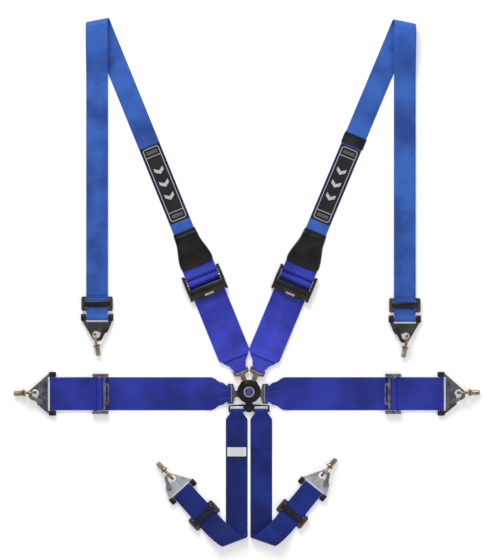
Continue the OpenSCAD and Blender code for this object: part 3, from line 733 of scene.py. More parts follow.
def one_stitch(size, thread, finish):
    """One stitch lying along +X: a short thread that dives in at both ends."""
    deselect()
    bpy.ops.mesh.primitive_cylinder_add(
        vertices=6, radius=thread / 2, depth=size, rotation=(0, math.pi / 2, 0), end_fill_type="TRIFAN"
    )
    stitch = name_new("stitch_model", finish)
    bpy.ops.object.transform_apply(location=True, rotation=True, scale=True)
    bpy.ops.object.mode_set(mode="EDIT")
    bpy.ops.mesh.select_all(action="SELECT")
    bpy.ops.mesh.bisect(plane_co=(size * 0.25, 0, 0), plane_no=(1, 0, 0))
    bpy.ops.mesh.select_all(action="SELECT")
    bpy.ops.mesh.bisect(plane_co=(-size * 0.25, 0, 0), plane_no=(1, 0, 0))
    bpy.ops.object.mode_set(mode="OBJECT")
    for vertex in stitch.data.vertices:
        end = max(abs(vertex.co.x) / (size / 2) - 0.5, 0.0) * 2
        vertex.co.z -= thread * 0.55 * end
    return stitch


def sewing(name, body, rows, place, finish, sizes):
    """Rows of stitches between points on the webbing: each row is (start, end), drawn in the
    strap's own frame."""
    model = one_stitch(sizes.stitch, sizes.thread, finish)
    points = [v.co.copy() for v in model.data.vertices]
    faces = [tuple(p.vertices) for p in model.data.polygons]
    all_points, all_faces = [], []
    for start, end in rows:
        start, end = Vector(start), Vector(end)
        run = end - start
        count = max(int(run.length / (sizes.stitch * 1.25)), 1)
        flat = math.atan2(run.y, run.x)
        slope = -math.asin(run.z / run.length)
        turn = Matrix.Rotation(flat, 4, "Z") @ Matrix.Rotation(slope, 4, "Y")
        for i in range(count):
            spot = Matrix.Translation(start + run * ((i + 0.5) / count)) @ turn
            first = len(all_points)
            all_points += [place @ (spot @ p) for p in points]
            all_faces += [tuple(first + k for k in f) for f in faces]
    choose(model)
    mesh = bpy.data.meshes.new(name)
    mesh.from_pydata([tuple(p) for p in all_points], [], all_faces)
    mesh.materials.append(finish)
    old = model.data
    model.data = mesh
    model.name = name
    bpy.data.meshes.remove(old)
    smooth(model, 60)
    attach(model, body)


def rows_across(x, half, z, count, step):
    """Rows of stitches across a strap."""
    return [((x + i * step, -half, z), (x + i * step, half, z)) for i in range(count)]


def rows_along(x1, x2, ys, z):
    """Rows of stitches along a strap."""
    return [((x1, y, z), (x2, y, z)) for y in ys]


def cross_rows(x1, x2, half, z):
    """A sewn box with a cross in it."""
    a, b, c, d = (x1, -half, z), (x2, -half, z), (x2, half, z), (x1, half, z)
    return [(a, b), (b, c), (d, c), (a, d), (a, c), (b, d)]


# ---- Operators ----


class HarnessStep(bpy.types.Operator):
    """Shared by the steps that make a harness"""

    bl_options = {"REGISTER", "UNDO"}

    def execute(self, context):
        self.build(context.scene.harness_sizes, context.scene.harness_colours)
        return {"FINISHED"}


class HARNESS_OT_lower_shoulder_straps(HarnessStep):
    """Make the wide straps from the buckle to the shoulder adjusters"""

    bl_idname = "harness.lower_shoulder_straps"
    bl_label = "Lower shoulder straps"

    def build(self, sizes, colours):
        cloth = webbing_finish("Lower_shoulder_webbing", colours.lower, colours.lower_dark)
        thread = thread_finish("Lower_shoulder_thread", tuple(v * 0.55 for v in colours.lower_dark))
        t = sizes.layer
        for side in SIDES:
            body = f"shoulder_lower_{side}"
            angle = strap_angle(f"shoulder_strap_lift_{side}")
            place = to_harness(angle)
            z = joint_place(f"shoulder_strap_lift_{side}").z
            bar = from_buckle(f"shoulder_strap_lift_{side}")
            end = from_buckle(f"shoulder_adjuster_tilt_{side}")
            wide = sizes.wide / 2
            low, high = 2.5 * MM, 4.1 * MM

            crease = bar + 109 * MM
            line = eased(
                [(bar + 30 * MM, high + 4.6 * MM), (bar + 36 * MM, high + 3.2 * MM)]
                + [(bar + 50 * MM, high + 0.6 * MM), (bar + 66 * MM, high)]
                + [(crease - 1.5 * MM, high), (crease + 0.5 * MM, low + 0.5 * MM)]
                + [(end - 40 * MM, low + 0.7 * MM), (end - 24 * MM, high)]
                + [(end - 12 * MM, high + 1.4 * MM)]
                + arc(end, z, WRAP, 128, -128)
                + [(end - 14 * MM, low + 0.6 * MM), (end - 24 * MM, 2.0 * MM), (end - 50 * MM, 1.5 * MM)],
                2,
            )

            def cut_corner(x):
                return between(x, [(bar + 29 * MM, wide - 5.5 * MM), (bar + 37 * MM, wide)])

            main = strap_run(
                f"shoulder_lower_webbing_{side}", cloth, line, cut_corner, place, t, rows=190
            )
            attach(main, body)
            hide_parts(f"shoulder_lower_strap_{side}")

            def gathered(x):
                return between(
                    x,
                    [(bar + 2 * MM, 14 * MM), (bar + 12 * MM, 19 * MM), (bar + 30 * MM, wide - 6.5 * MM)]
                    + [(bar + 44 * MM, wide - 3 * MM)],
                )

            def pleats(x, column):
                k = between(x, [(bar - 2 * MM, 0.2), (bar + 8 * MM, 0.8), (bar + 34 * MM, 0.0)])
                return k * MM * (0.8 * math.cos(column * 5.5) + 0.35 * math.sin(column * 13 + 1.3))

            sleeve = strap_run(
                f"shoulder_gather_{side}",
                cloth,
                eased(
                    [(bar + 110 * MM, 2.2 * MM), (bar + 40 * MM, 2.2 * MM), (bar + 20 * MM, 1.9 * MM)]
                    + [(bar + 8 * MM, 3.0 * MM)]
                    + arc(bar, z, WRAP, -60, -300)
                    + [(bar + 8 * MM, 9.0 * MM), (bar + 20 * MM, 6.2 * MM), (bar + 36 * MM, 4.2 * MM)]
                    + [(bar + 52 * MM, 3.0 * MM)],
                    2,
                ),
                gathered,
                place,
                t,
                rows=120,
                columns=44,
                pleat=pleats,
            )
            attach(sleeve, body)
            top = high + t / 2 + 0.1 * MM
            rows = rows_across(bar + 53 * MM, wide - 3 * MM, top + 0.3 * MM, 2, 3 * MM)
            rows += rows_across(crease - 2.5 * MM, wide - 2 * MM, top, 1, 0)
            rows += cross_rows(end - 38 * MM, end - 27 * MM, wide - 5 * MM, top - 0.9 * MM)[:4]
            sewing(f"shoulder_lower_stitches_{side}", body, rows, place, thread, sizes)


class HARNESS_OT_webbing_turns(HarnessStep):
    """Make the webbing's turns over the bars of the adjusters"""

    bl_idname = "harness.webbing_turns"
    bl_label = "Turns in the adjusters"

    def build(self, sizes, colours):
        # The turns take the lower webbing's colours at 0.72 of their value: painted shade on the webbing where it
        # turns over the adjuster's bars.
        worn_and_shaded = [tuple(v * 0.72 for v in tone) for tone in (colours.lower, colours.lower_dark)]
        shoulder = webbing_finish("Shaded_shoulder_turn_webbing", *worn_and_shaded)
        lap = webbing_finish("Lap_turn_webbing", colours.lap, colours.lap_dark)
        half = sizes.wide / 2
        for side in SIDES:
            angle = strap_angle(f"shoulder_adjuster_tilt_{side}")
            x0 = from_buckle(f"shoulder_adjuster_tilt_{side}") + ADJUSTER_START
            shape = [(46, 2.3), (38, 2.4), (33, 2.7), (30.5, 4.6), (29, 8.4), (26.5, 11.4), (23.5, 12.5)]
            shape += [(20.5, 11.5), (17.8, 8.8), (16.3, 6.2), (15.2, 6.2), (14.6, 9.4), (12.9, 12.9)]
            shape += [(8, 14.9), (3.6, 13.3), (1.2, 10), (0.9, 6.5), (1.6, 3.8), (5, 2.4), (14, 2.3)]

            def narrowed(x):
                return between(x - x0, [(29 * MM, half - 0.6 * MM), (33 * MM, half - 4 * MM)])

            turn = strap_run(
                f"shoulder_adjuster_turn_{side}",
                shoulder,
                [(x0 + x * MM, z * MM) for x, z in eased(shape, 2)],
                narrowed,
                to_harness(angle),
                sizes.layer,
                rows=110,
            )
            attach(turn, f"shoulder_adjuster_{side}")

            angle = strap_angle(f"lap_anchor_lift_{side}")
            loop = joint_place(f"lap_anchor_lift_{side}")
            x0 = abs(loop.x) - 12 * MM
            shape = [(30, 2.3), (18, 2.4), (10, 3.0), (6.2, 6), (5.7, 9.8), (4.6, 13.4), (-1.0, 15.6)]
            shape += [(-5.4, 14.0), (-7.4, 11.9), (-8.6, 10.6)]
            turn = strap_run(
                f"lap_adjuster_turn_{side}",
                lap,
                [(x0 - x * MM, z * MM) for x, z in eased(shape, 2)],
                lambda x: half - 0.6 * MM,
                to_harness(angle, loop.y),
                sizes.layer,
                rows=70,
            )
            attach(turn, f"lap_adjuster_{side}")


class HARNESS_OT_upper_shoulder_straps(HarnessStep):
    """Make the upper shoulder straps, their folds and their tails"""

    bl_idname = "harness.upper_shoulder_straps"
    bl_label = "Upper shoulder straps"

    def build(self, sizes, colours):
        cloth = webbing_finish("Upper_shoulder_webbing", colours.upper, colours.upper_dark)
        wide_cloth = webbing_finish("Pull_webbing", colours.lower, colours.lower_dark)
        thread = thread_finish("Upper_shoulder_thread", tuple(v * 0.8 for v in colours.upper_dark))
        half = sizes.narrow / 2
        for side in SIDES:
            fold = Fold(
                f"shoulder_tail_lift_{side}",
                f"shoulder_strap_lift_{side}",
                f"shoulder_hook_swing_{side}",
                sizes.layer,
            )
            bodies = (f"shoulder_upper_{side}", f"shoulder_tail_{side}")
            joined = from_buckle(f"shoulder_adjuster_tilt_{side}") + 120 * MM
            pieces = folded_strap(
                f"shoulder_{side}", cloth, fold, half, sizes.layer, bodies, joined - fold.reach, 130 * MM
            )
            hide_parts(f"shoulder_upper_strap_{side}")
            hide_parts(f"shoulder_tail_{side}")
            wide, near = sizes.wide / 2, joined - 57 * MM

            def tapered(x):
                return between(x, [(near + 14 * MM, wide), (near + 50 * MM, half)])

            pull = strap_run(
                f"shoulder_pull_webbing_{side}",
                wide_cloth,
                [(112 * MM, 0.7 * MM), (joined - 4 * MM, 0.7 * MM)],
                tapered,
                to_harness(fold.strap),
                sizes.layer,
                rows=60,
            )
            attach(pull, bodies[0])
            bar = fold.bar
            turn = joint_axis(f"shoulder_hook_swing_{side}")
            back = math.atan2(turn.x, -turn.y)
            tail_place = Matrix.Translation((bar.x, bar.y, 0)) @ Matrix.Rotation(back, 4, "Z")
            rows = rows_across(-52 * MM, half - 3 * MM, bar.z + 1.8 * MM, 1, 0)
            rows += rows_across(-14 * MM, half - 3 * MM, bar.z + 2.0 * MM, 2, 2.4 * MM)
            sewing(f"shoulder_tail_stitches_{side}", bodies[1], rows, tail_place, thread, sizes)


class HARNESS_OT_shoulder_covers(HarnessStep):
    """Make the covers that widen from the narrow webbing to the wide one"""

    bl_idname = "harness.shoulder_covers"
    bl_label = "Shoulder covers"

    def build(self, sizes, colours):
        skin = cover_finish("Cover_skin", tuple(colours.cover))
        thread = thread_finish("Cover_thread", (0.03, 0.026, 0.028))
        for side in SIDES:
            near = from_buckle(f"shoulder_adjuster_tilt_{side}") + 63 * MM
            size = 85 * MM
            half_wide, half_narrow = sizes.wide / 2 + 1.2 * MM, sizes.narrow / 2 + 1.4 * MM
            place = to_harness(strap_angle(f"shoulder_strap_lift_{side}"))

            def where(row, column):
                x = near + size * row
                half = between(
                    row,
                    [(0.0, half_wide - 1.5 * MM), (0.1, half_wide), (0.82, half_narrow + 1.2 * MM)]
                    + [(1.0, half_narrow)],
                )
                ridge = math.exp(-(((row - 0.86) / 0.035) ** 2)) * 1.1 * MM
                groove = math.exp(-(((row - 0.93) / 0.02) ** 2)) * 0.7 * MM
                swell = 5.2 * MM + 1.3 * MM * math.sin(row * math.pi) ** 2 - groove + ridge
                bow = -1.6 * MM * (1 - column * column) * (1 - row) ** 4
                edge = min(abs(column), 1.0)
                round_side = (1 - edge**7) ** (1 / 3)
                z = 0.5 * MM + (swell - 0.5 * MM) * round_side
                dent = 0.5 * MM * math.cos(column * 4.0 + row * 3) * math.sin(row * math.pi)
                y = half * (edge**0.92) * (1 if column >= 0 else -1)
                return place @ Vector((x + bow, y, z + dent * round_side)), half * column, x

            piece = cloth_grid(f"shoulder_cover_skin_{side}", skin, 36, 48, where)
            give_thickness(piece, 1.0 * MM)
            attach(piece, f"shoulder_upper_{side}")
            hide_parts(f"shoulder_cover_{side}")
            z = 5.9 * MM
            rows = rows_across(near + 3.4 * MM, half_wide - 9 * MM, z, 1, 0)
            rows += rows_across(near + size - 2.4 * MM, half_narrow - 6 * MM, z, 1, 0)
            sewing(f"shoulder_cover_stitches_{side}", f"shoulder_upper_{side}", rows, place, thread, sizes)


class HARNESS_OT_shoulder_labels(HarnessStep):
    """Make the woven shoulder labels and the keeper band"""

    bl_idname = "harness.shoulder_labels"
    bl_label = "Shoulder labels"

    def build(self, sizes, colours):
        span, width = 186 * MM, 47 * MM
        cloth = label_finish("Label_cloth", tuple(colours.label), tuple(colours.mark), span, width)
        for side in SIDES:
            low = from_buckle(f"shoulder_adjuster_tilt_{side}") + 173 * MM
            place = to_harness(strap_angle(f"shoulder_strap_lift_{side}"))

            def where(row, column):
                edge = max(abs(column), abs(2 * row - 1) ** 12)
                z = 1.4 * MM + 0.55 * MM - 0.2 * MM * edge**10
                along = span * row
                return place @ Vector((low + along, width / 2 * column, z)), width / 2 * column, along

            piece = give_thickness(cloth_grid(f"shoulder_patch_{side}", cloth, 16, 60, where), 0.7 * MM)
            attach(piece, f"shoulder_upper_{side}")
            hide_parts(f"shoulder_label_{side}")
            if side == "right":
                self.keeper(low + span + 3 * MM, place, sizes, colours)

    def keeper(self, far, place, sizes, colours):
        """A band round the right strap, past its label"""
        skin = cover_finish("Keeper_band", tuple(colours.label))
        half = sizes.narrow / 2 + 1.3 * MM

        def band(row, column):
            angle = math.pi * 2 * row
            c, s = math.cos(angle), math.sin(angle)
            y = half * math.copysign(abs(c) ** 0.5, c)
            z = 0.9 * MM + 1.9 * MM * math.copysign(abs(s) ** 0.6, s) * (1 if s > 0 else 0.3)
            return place @ Vector((far + 13 * MM * (column + 1), y, z)), 13 * MM * column, half * 4 * row

        piece = cloth_grid("shoulder_keeper_band_right", skin, 6, 48, band)
        weld(piece)
        give_thickness(piece, 0.9 * MM)
        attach(piece, "shoulder_upper_right")


class HARNESS_OT_lap_straps(HarnessStep):
    """Make the lap straps and the straps from their adjusters to the hooks"""

    bl_idname = "harness.lap_straps"
    bl_label = "Lap straps"

    def build(self, sizes, colours):
        cloth = webbing_finish("Lap_webbing", colours.lap, colours.lap_dark)
        rough_cloth = webbing_finish("Lap_anchor_webbing", colours.lap, colours.lap_dark, 1.7)
        thread = thread_finish("Lap_thread", tuple(v * 0.6 for v in colours.lap_dark))
        t = sizes.layer
        wide = sizes.wide / 2
        for side in SIDES:
            tongue = joint_place(f"lap_strap_lift_{side}")
            bar, z, shift = abs(tongue.x), tongue.z, tongue.y
            place = to_harness(strap_angle(f"lap_strap_lift_{side}"), shift)
            loop = abs(joint_place(f"lap_anchor_lift_{side}").x)
            hook = abs(joint_place(f"lap_hook_swing_{side}").x)
            low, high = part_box(f"lap_strap_{side}")
            end = max(abs(low.x), abs(high.x))

            def gathered(x):
                return between(x, [(bar + 4 * MM, 19 * MM), (bar + 16 * MM, 26 * MM), (bar + 42 * MM, wide)])

            def pleats(x, column):
                k = between(x, [(bar, 0.3), (bar + 9 * MM, 1.0), (bar + 36 * MM, 0.0)])
                return k * MM * (0.9 * math.cos(column * 8.5 + 0.6) + 0.5 * math.sin(column * 15))

            line = eased(
                [(end, 0.7 * MM), (bar + 30 * MM, 0.7 * MM), (bar + 14 * MM, 1.6 * MM)]
                + arc(bar, z, WRAP, -70, -290)
                + [(bar + 10 * MM, 7.4 * MM), (bar + 22 * MM, 3.6 * MM), (bar + 36 * MM, 2.2 * MM)]
                + [(bar + 54 * MM, 2.2 * MM)],
                2,
            )
            strap = strap_run(
                f"lap_webbing_{side}", cloth, line, gathered, place, t, rows=260, columns=36, pleat=pleats
            )
            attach(strap, f"lap_strap_{side}")
            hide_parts(f"lap_strap_{side}")
            rows = rows_across(bar + 42 * MM, wide - 4 * MM, 3.0 * MM, 3, 3.6 * MM)
            rows += rows_along(bar + 30 * MM, bar + 50 * MM, (-wide + 3.5 * MM, wide - 3.5 * MM), 3.0 * MM)
            sewing(f"lap_stitches_{side}", f"lap_strap_{side}", rows, place, thread, sizes)

            middle = (loop + hook) / 2
            line = eased(
                [(middle + 14 * MM, 2.5 * MM), (loop + 14 * MM, 2.7 * MM)]
                + arc(loop, z, WRAP, -70, -290)
                + [(loop + 14 * MM, 4.6 * MM), (middle - 10 * MM, 4.1 * MM), (hook - 14 * MM, 4.6 * MM)]
                + arc(hook, z, WRAP, 110, -110)
                + [(hook - 14 * MM, 2.9 * MM), (middle + 20 * MM, 2.6 * MM)],
                2,
            )
            anchor = strap_run(
                f"lap_anchor_webbing_{side}", rough_cloth, line, lambda x: wide - 0.2 * MM, place, t, rows=200
            )
            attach(anchor, f"lap_anchor_{side}")
            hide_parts(f"lap_anchor_strap_{side}")
            top = 4.9 * MM
            rows = cross_rows(middle - 16 * MM, middle + 22 * MM, wide - 8 * MM, top)
            sewing(f"lap_anchor_stitches_{side}", f"lap_anchor_{side}", rows, place, thread, sizes)


class HARNESS_OT_crotch_straps(HarnessStep):
    """Make the crotch straps, their folds, their tails and the plain care patch"""

    bl_idname = "harness.crotch_straps"
    bl_label = "Crotch straps"

    def build(self, sizes, colours):
        cloth = webbing_finish("Crotch_webbing", colours.crotch, colours.crotch_dark)
        thread = thread_finish("Crotch_thread", tuple(v * 0.6 for v in colours.crotch_dark))
        half = sizes.narrow / 2
        t = sizes.layer
        for side in SIDES:
            body = f"crotch_strap_{side}"
            tongue = joint_place(f"crotch_strap_lift_{side}")
            bar, z, shift = -tongue.y, tongue.z, tongue.x
            place = Matrix.Translation((shift, 0, 0)) @ Matrix.Rotation(-math.pi / 2, 4, "Z")
            fold = Fold(
                f"crotch_tail_lift_{side}", f"crotch_strap_lift_{side}", f"crotch_hook_swing_{side}", t
            )
            fold.reach = -fold.centre.y
            joined = bar + 58 * MM
            pieces = folded_strap(
                f"crotch_{side}",
                cloth,
                fold,
                half,
                t,
                (body, f"crotch_tail_{side}"),
                joined - fold.reach,
                44 * MM,
            )
            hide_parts(f"crotch_strap_{side}")
            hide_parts(f"crotch_tail_{side}")

            def gathered(x):
                return between(x, [(bar + 3 * MM, 14.6 * MM), (bar + 22 * MM, half), (bar + 30 * MM, half)])

            def pleats(x, column):
                k = between(x, [(bar, 0.3), (bar + 7 * MM, 1.0), (bar + 24 * MM, 0.0)])
                return k * MM * (0.8 * math.cos(column * 8.0) + 0.4 * math.sin(column * 14))

            over = 2.2 * MM
            line = eased(
                [(joined + 2 * MM, 0.7 * MM), (bar + 22 * MM, 0.8 * MM), (bar + 10 * MM, 2.0 * MM)]
                + arc(bar, z, WRAP, -60, -290)
                + [(bar + 9 * MM, 7.2 * MM), (bar + 20 * MM, 3.4 * MM), (bar + 30 * MM, over)]
                + [(bar + 88 * MM, over)],
                2,
            )
            name = f"crotch_webbing_top_{side}"
            top = strap_run(name, cloth, line, gathered, place, t, rows=120, columns=28, pleat=pleats)
            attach(top, body)
            face = over + t / 2 + 0.1 * MM
            rows = rows_across(bar + 79 * MM, half - 3 * MM, face, 3, 3.0 * MM)
            rows += rows_along(bar + 30 * MM, bar + 84 * MM, (-half + 3 * MM, half - 3 * MM), face)
            sewing(f"crotch_stitches_{side}", body, rows, place, thread, sizes)
            if side == "left":
                self.patch(bar + 84 * MM, face, half, place, body)

    def patch(self, near, face, half, place, body):
        """A plain white cloth patch with a few ruled lines"""
        m = Finish("Care_patch")
        across, along = m.across_along()
        ruled = (along / (4.2 * MM)).wave().above(0.82) * across.math("ABSOLUTE").below(16 * MM)
        weave = (across / (0.8 * MM)).wave() * 0.5 + (along / (0.8 * MM)).wave() * 0.5
        base = m.mix(ruled * 0.55, m.mix(weave, (0.82, 0.82, 0.84), (0.92, 0.92, 0.94)), (0.3, 0.3, 0.36))
        cloth = m.finish(base, weave * 0.1 + 0.65, m.bump(weave, 0.12 * MM, 0.5), Sheen_Weight=0.1)

        def where(row, column):
            y = (half - 3.2 * MM) * column
            lift = 0.35 * MM + 0.15 * MM * math.cos(column * 3 + row * 2)
            return place @ Vector((near + 21 * MM * row, y, face + lift)), y, 21 * MM * row

        piece = give_thickness(cloth_grid("crotch_care_patch_left", cloth, 14, 10, where), 0.4 * MM)
        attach(piece, body)


class HARNESS_OT_bolt_threads(HarnessStep):
    """Cut the threads on the eye bolts"""

    bl_idname = "harness.bolt_threads"
    bl_label = "Eye bolt threads"

    def build(self, sizes, colours):
        steel = metal_finish("Thread_plating", (0.3, 0.22, 0.14), (0.52, 0.44, 0.33), 0.32)
        radius = thread_radius()
        for mount in frame["record"]["mounts"]:
            if mount["kind"] != "pin":
                continue
            family, _, side = mount["name"].partition("_stud_")
            size = mount["dims"]["length_mm"] * MM
            turns = int(size * 0.86 / sizes.pitch)
            deselect()
            bpy.ops.mesh.primitive_grid_add(x_subdivisions=2 * turns, y_subdivisions=32, size=2.0)
            piece = name_new(f"{family}_bolt_thread_{side}", steel)
            axis = Vector(mount["axis"])
            aim = Vector((0, 0, 1)).rotation_difference(axis).to_matrix().to_4x4()
            place = Matrix.Translation(Vector(mount["pos_m"])) @ aim
            for vertex in piece.data.vertices:
                step = round((vertex.co.x + 1) * turns)
                angle = math.pi * (vertex.co.y + 1)
                ridge = 0.22 * MM if step % 2 else -0.12 * MM
                if step in (0, 2 * turns):
                    ridge = -0.3 * MM
                z = (step / 2 + (angle / (2 * math.pi)) - turns / 2 - 0.5) * sizes.pitch
                r = radius + ridge
                vertex.co = (r * math.cos(angle), r * math.sin(angle), z)
            piece.data.transform(place)
            add_modifier(piece, "SOLIDIFY", thickness=0.25 * MM, offset=-1.0)
            smooth(piece, 30)
            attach(piece, f"{family}_eye_bolt_{side}")


class HARNESS_OT_hardware_trims(HarnessStep):
    """Make the bars, flanges and sleeves on the adjusters, slides, hooks and buckle"""

    bl_idname = "harness.hardware_trims"
    bl_label = "Hardware trims"

    def build(self, sizes, colours):
        black = paint_finish("Trim_black", (0.008, 0.006, 0.007), 0.26, amount=0.12)
        sleeve = paint_finish("Sleeve_black", (0.005, 0.005, 0.006), 0.42, amount=0.05)
        steel = metal_finish("Flange_steel", (0.35, 0.34, 0.34), (0.66, 0.65, 0.64), 0.28, spots=0.5)
        mark = self.mark_finish()
        low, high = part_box("badge")
        centre = (low + high) / 2
        centre.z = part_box("lever")[1].z - 0.6 * MM
        grip = bowed_bar("buckle_grip", black, centre, 20 * MM, 2.7 * MM, 36, 144, "lever")
        for side in SIDES:
            self.adjuster(side, sizes, black, steel, mark)
            for family in ("shoulder", "crotch"):
                self.slide(family, side, sizes, black)
            for family in ("shoulder", "lap", "crotch"):
                self.sleeves(family, side, sizes, sleeve)

    def mark_finish(self):
        """Pale paint, broken into short plain strokes"""
        m = Finish("Lip_mark")
        across = m.across_along()[0]
        stroke = ((across + 0.2) / (4.4 * MM)).wave().above(0.25)
        base = m.mix(stroke, (0.09, 0.07, 0.08), (0.5, 0.47, 0.49))
        return m.finish(base, m.noise(300.0) * 0.2 + 0.4, None, Specular_IOR_Level=0.3)

    def adjuster(self, side, sizes, black, steel, mark):
        """The ridge, the two serrated flanges and the marked lip of a shoulder adjuster"""
        x0 = from_buckle(f"shoulder_adjuster_tilt_{side}") + ADJUSTER_START
        body = f"shoulder_adjuster_{side}"
        turn = to_harness(strap_angle(f"shoulder_adjuster_tilt_{side}"))
        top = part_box(body)[1].z
        place = turn @ Matrix.Translation((x0 - 10 * MM, 0, top))
        ridge = round_bar(
            f"adjuster_ridge_{side}", black, (12 * MM, sizes.wide + 8 * MM, 7 * MM), place, body
        )
        for hand in (-1, 1):

            def serrated(row, column):
                tooth = 1.1 * MM * abs(((row * 6) % 1.0) - 0.5) * 2
                reach = 43.5 * MM + (2.4 * MM + tooth) * (column + 1) / 2
                spot = Vector((x0 - 12 * MM + 25 * MM * row, hand * reach, 8 * MM))
                return turn @ spot, reach, 25 * MM * row

            name = f"adjuster_flange_{side}_{'a' if hand < 0 else 'b'}"
            flange = give_thickness(cloth_grid(name, steel, 2, 72, serrated), 2.4 * MM)
            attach(flange, body)

        def printed(row, column):
            spot = Vector((x0 - 29 * MM + 5 * MM * row, 11 * MM * column, top + 0.1 * MM))
            return turn @ spot, 11 * MM * column, 5 * MM * row

        plate = give_thickness(cloth_grid(f"adjuster_mark_{side}", mark, 12, 4, printed), 0.3 * MM)
        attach(plate, body)

    def slide(self, family, side, sizes, black):
        """The round bar on top of a three-bar slide"""
        low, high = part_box(f"{family}_slide_{side}")
        centre = (low + high) / 2
        place = Matrix.Translation((centre.x, centre.y, high.z - 0.6 * MM)) @ Matrix.Rotation(
            strap_angle(f"{family}_hook_swing_{side}"), 4, "Z"
        )
        size = (14 * MM, sizes.narrow + 10 * MM, 4.4 * MM)
        bar = round_bar(f"{family}_slide_bar_{side}", black, size, place, f"{family}_slide_{side}")

    def sleeves(self, family, side, sizes, sleeve):
        """The two sleeves beside the webbing on a hook's bar"""
        bar = joint_place(f"{family}_hook_swing_{side}")
        turn = Matrix.Rotation(strap_angle(f"{family}_hook_swing_{side}"), 4, "Z")
        half = (sizes.wide if family == "lap" else sizes.narrow) / 2
        for hand in (-1, 1):
            aside = Matrix.Translation((-1.5 * MM, hand * (half + 6.4 * MM), 0))
            place = Matrix.Translation(bar) @ turn @ aside
            name = f"{family}_hook_sleeve_{side}_{'a' if hand < 0 else 'b'}"
            size = (17 * MM, 12 * MM, 9.4 * MM)
            cap = round_bar(name, sleeve, size, place, f"{family}_hook_{side}", 0.42)


class HARNESS_OT_metal_finishes(HarnessStep):
    """Give the buckle, tongues, adjusters, slides, hooks and bolts their finishes"""

    bl_idname = "harness.metal_finishes"
    bl_label = "Metal finishes"

    def build(self, sizes, colours):
        low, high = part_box("badge")
        centre = (low + high) / 2
        black = paint_finish("Buckle_black", (0.006, 0.004, 0.006), 0.34, amount=0.08)
        lever = paint_finish("Lever_black", (0.007, 0.004, 0.006), 0.28, amount=0.1)
        bronze = metal_finish("Tongue_bronze", (0.16, 0.105, 0.06), (0.4, 0.31, 0.22), 0.36, spots=0.4)
        grey = metal_finish("Tongue_grey", (0.07, 0.065, 0.07), (0.2, 0.19, 0.2), 0.36, spots=0.3)
        steel = metal_finish("Bright_steel", (0.5, 0.5, 0.53), (0.72, 0.72, 0.75), 0.26)
        frame_black = paint_finish("Adjuster_black", (0.016, 0.012, 0.014), 0.36, amount=0.35)
        frame_grey = metal_finish("Adjuster_grey", (0.09, 0.085, 0.1), (0.3, 0.3, 0.33), 0.3, spots=0.5)
        slide = paint_finish("Slide_black", (0.045, 0.035, 0.04), 0.36, amount=0.4)
        hook_black = paint_finish("Hook_black", (0.03, 0.029, 0.03), 0.38, amount=0.25)
        hook_grey = metal_finish("Hook_grey", (0.075, 0.072, 0.09), (0.23, 0.22, 0.26), 0.36, spots=0.3)
        zinc = metal_finish("Hook_zinc", (0.42, 0.42, 0.46), (0.68, 0.7, 0.74), 0.4, spots=0.25)
        gate = metal_finish("Gate_grey", (0.18, 0.18, 0.19), (0.34, 0.34, 0.36), 0.36)
        bolt = metal_finish("Bolt_zinc", (0.26, 0.18, 0.11), (0.5, 0.41, 0.3), 0.3, spots=0.3)
        badge = badge_finish("Badge", centre, (high.x - low.x) / 2 * 0.86)
        chosen = {
            "back_plate": black,
            "housing": black,
            "lever": lever,
            "badge": badge,
            "crotch_tongue": black,
            "lock_pins": steel,
            "return_spring": steel,
            "case_screws": steel,
        }
        twice = {
            "shoulder_tongue_{}": bronze,
            "lap_tongue_{}": grey,
            "shoulder_adjuster_{}": frame_black,
            "lap_adjuster_{}_frame": frame_grey,
            "shoulder_adjuster_bar_{}": steel,
            "lap_adjuster_bar_{}": steel,
            "shoulder_slide_{}": slide,
            "crotch_slide_{}": slide,
            "shoulder_hook_{}": hook_black,
            "shoulder_gate_{}": frame_black,
            "lap_hook_{}": hook_grey,
            "lap_gate_{}": gate,
            "crotch_hook_{}": zinc,
            "crotch_gate_{}": gate,
            "shoulder_eye_bolt_{}": bolt,
            "lap_eye_bolt_{}": bolt,
            "crotch_eye_bolt_{}": bolt,
        }
        for side in SIDES:
            chosen.update({name.format(side): finish for name, finish in twice.items()})
        for node, finish in chosen.items():
            piece = frame["nodes"][node]
            if not piece.data.materials:
                piece.data.materials.append(finish)
            for index in range(len(piece.material_slots)):
                piece.material_slots[index].material = finish


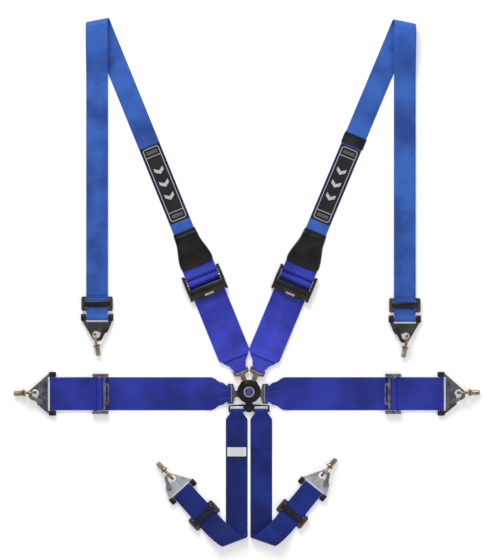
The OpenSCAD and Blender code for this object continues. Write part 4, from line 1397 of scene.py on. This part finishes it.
class HARNESS_OT_stage(HarnessStep):
    """Lay the floor, the lights and the camera"""

    bl_idname = "harness.stage"
    bl_label = "Stage"

    def build(self, sizes, colours):
        deselect()
        under = -0.4 * MM
        bpy.ops.mesh.primitive_plane_add(size=sizes.floor, location=(0, 0.3, under))
        floor = name_new("floor", floor_finish("Floor_pale", tuple(colours.floor)))
        bpy.ops.object.transform_apply(location=True, rotation=True, scale=True)

        world = bpy.data.worlds.new("Studio")
        bpy.context.scene.world = world
        world.use_nodes = True
        sky = world.node_tree.nodes["Background"].inputs
        sky["Color"].default_value = (1.0, 1.0, 1.0, 1.0)
        sky["Strength"].default_value = 0.45
        lit_spot = Vector((0, 0.25, 0))

        for name, spot, size, power in (
            ("Key", (-0.7, 3.0, 2.3), 1.5, 74.0),
            ("Fill", (1.6, -0.8, 2.6), 2.0, 12.0),
        ):
            light = bpy.data.lights.new(name, "AREA")
            light.energy = power
            light.size = size
            lamp = bpy.data.objects.new(name, light)
            bpy.context.scene.collection.objects.link(lamp)
            lamp.location = spot
            aim = lit_spot - Vector(spot)
            lamp.rotation_euler = aim.to_track_quat("-Z", "Y").to_euler()

        camera = bpy.data.cameras.new("Camera")
        camera.sensor_width = 36.0
        distance, tall = 6.0, 1.288
        middle_x, middle_y = -0.0161, 0.25645
        camera.lens = camera.sensor_width * distance / tall
        camera.clip_end = 50.0
        eye = bpy.data.objects.new("Camera", camera)
        bpy.context.scene.collection.objects.link(eye)
        eye.location = (middle_x, middle_y, distance)
        bpy.context.scene.camera = eye
        bpy.context.scene.view_settings.view_transform = "Standard"


class HARNESS_PT_steps(bpy.types.Panel):
    """Lists the steps in the order in which they are made"""

    bl_idname = "HARNESS_PT_steps"
    bl_label = "Racing harness"
    bl_space_type = "VIEW_3D"
    bl_region_type = "UI"
    bl_category = "Harness"

    def draw(self, context):
        column = self.layout.column()
        for group in (context.scene.harness_sizes, context.scene.harness_colours):
            for name in group.__annotations__:
                column.prop(group, name)
        for step in STEPS:
            column.operator(step.bl_idname)


STEPS = (
    HARNESS_OT_stage,
    HARNESS_OT_metal_finishes,
    HARNESS_OT_lower_shoulder_straps,
    HARNESS_OT_webbing_turns,
    HARNESS_OT_upper_shoulder_straps,
    HARNESS_OT_shoulder_covers,
    HARNESS_OT_shoulder_labels,
    HARNESS_OT_lap_straps,
    HARNESS_OT_crotch_straps,
    HARNESS_OT_bolt_threads,
    HARNESS_OT_hardware_trims,
)
CLASSES = (HarnessSizes, HarnessColours, *STEPS, HARNESS_PT_steps)


def register():
    for entry in CLASSES:
        bpy.utils.register_class(entry)
    bpy.types.Scene.harness_sizes = bpy.props.PointerProperty(type=HarnessSizes)
    bpy.types.Scene.harness_colours = bpy.props.PointerProperty(type=HarnessColours)


def unregister():
    del bpy.types.Scene.harness_colours
    del bpy.types.Scene.harness_sizes
    for entry in reversed(CLASSES):
        bpy.utils.unregister_class(entry)


def main():
    register()
    bpy.ops.harness.stage()
    bpy.ops.harness.metal_finishes()
    bpy.ops.harness.lower_shoulder_straps()
    bpy.ops.harness.webbing_turns()
    bpy.ops.harness.upper_shoulder_straps()
    bpy.ops.harness.shoulder_covers()
    bpy.ops.harness.shoulder_labels()
    bpy.ops.harness.lap_straps()
    bpy.ops.harness.crotch_straps()
    bpy.ops.harness.bolt_threads()
    bpy.ops.harness.hardware_trims()
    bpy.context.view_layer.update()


if __name__ == "__main__":
    main()
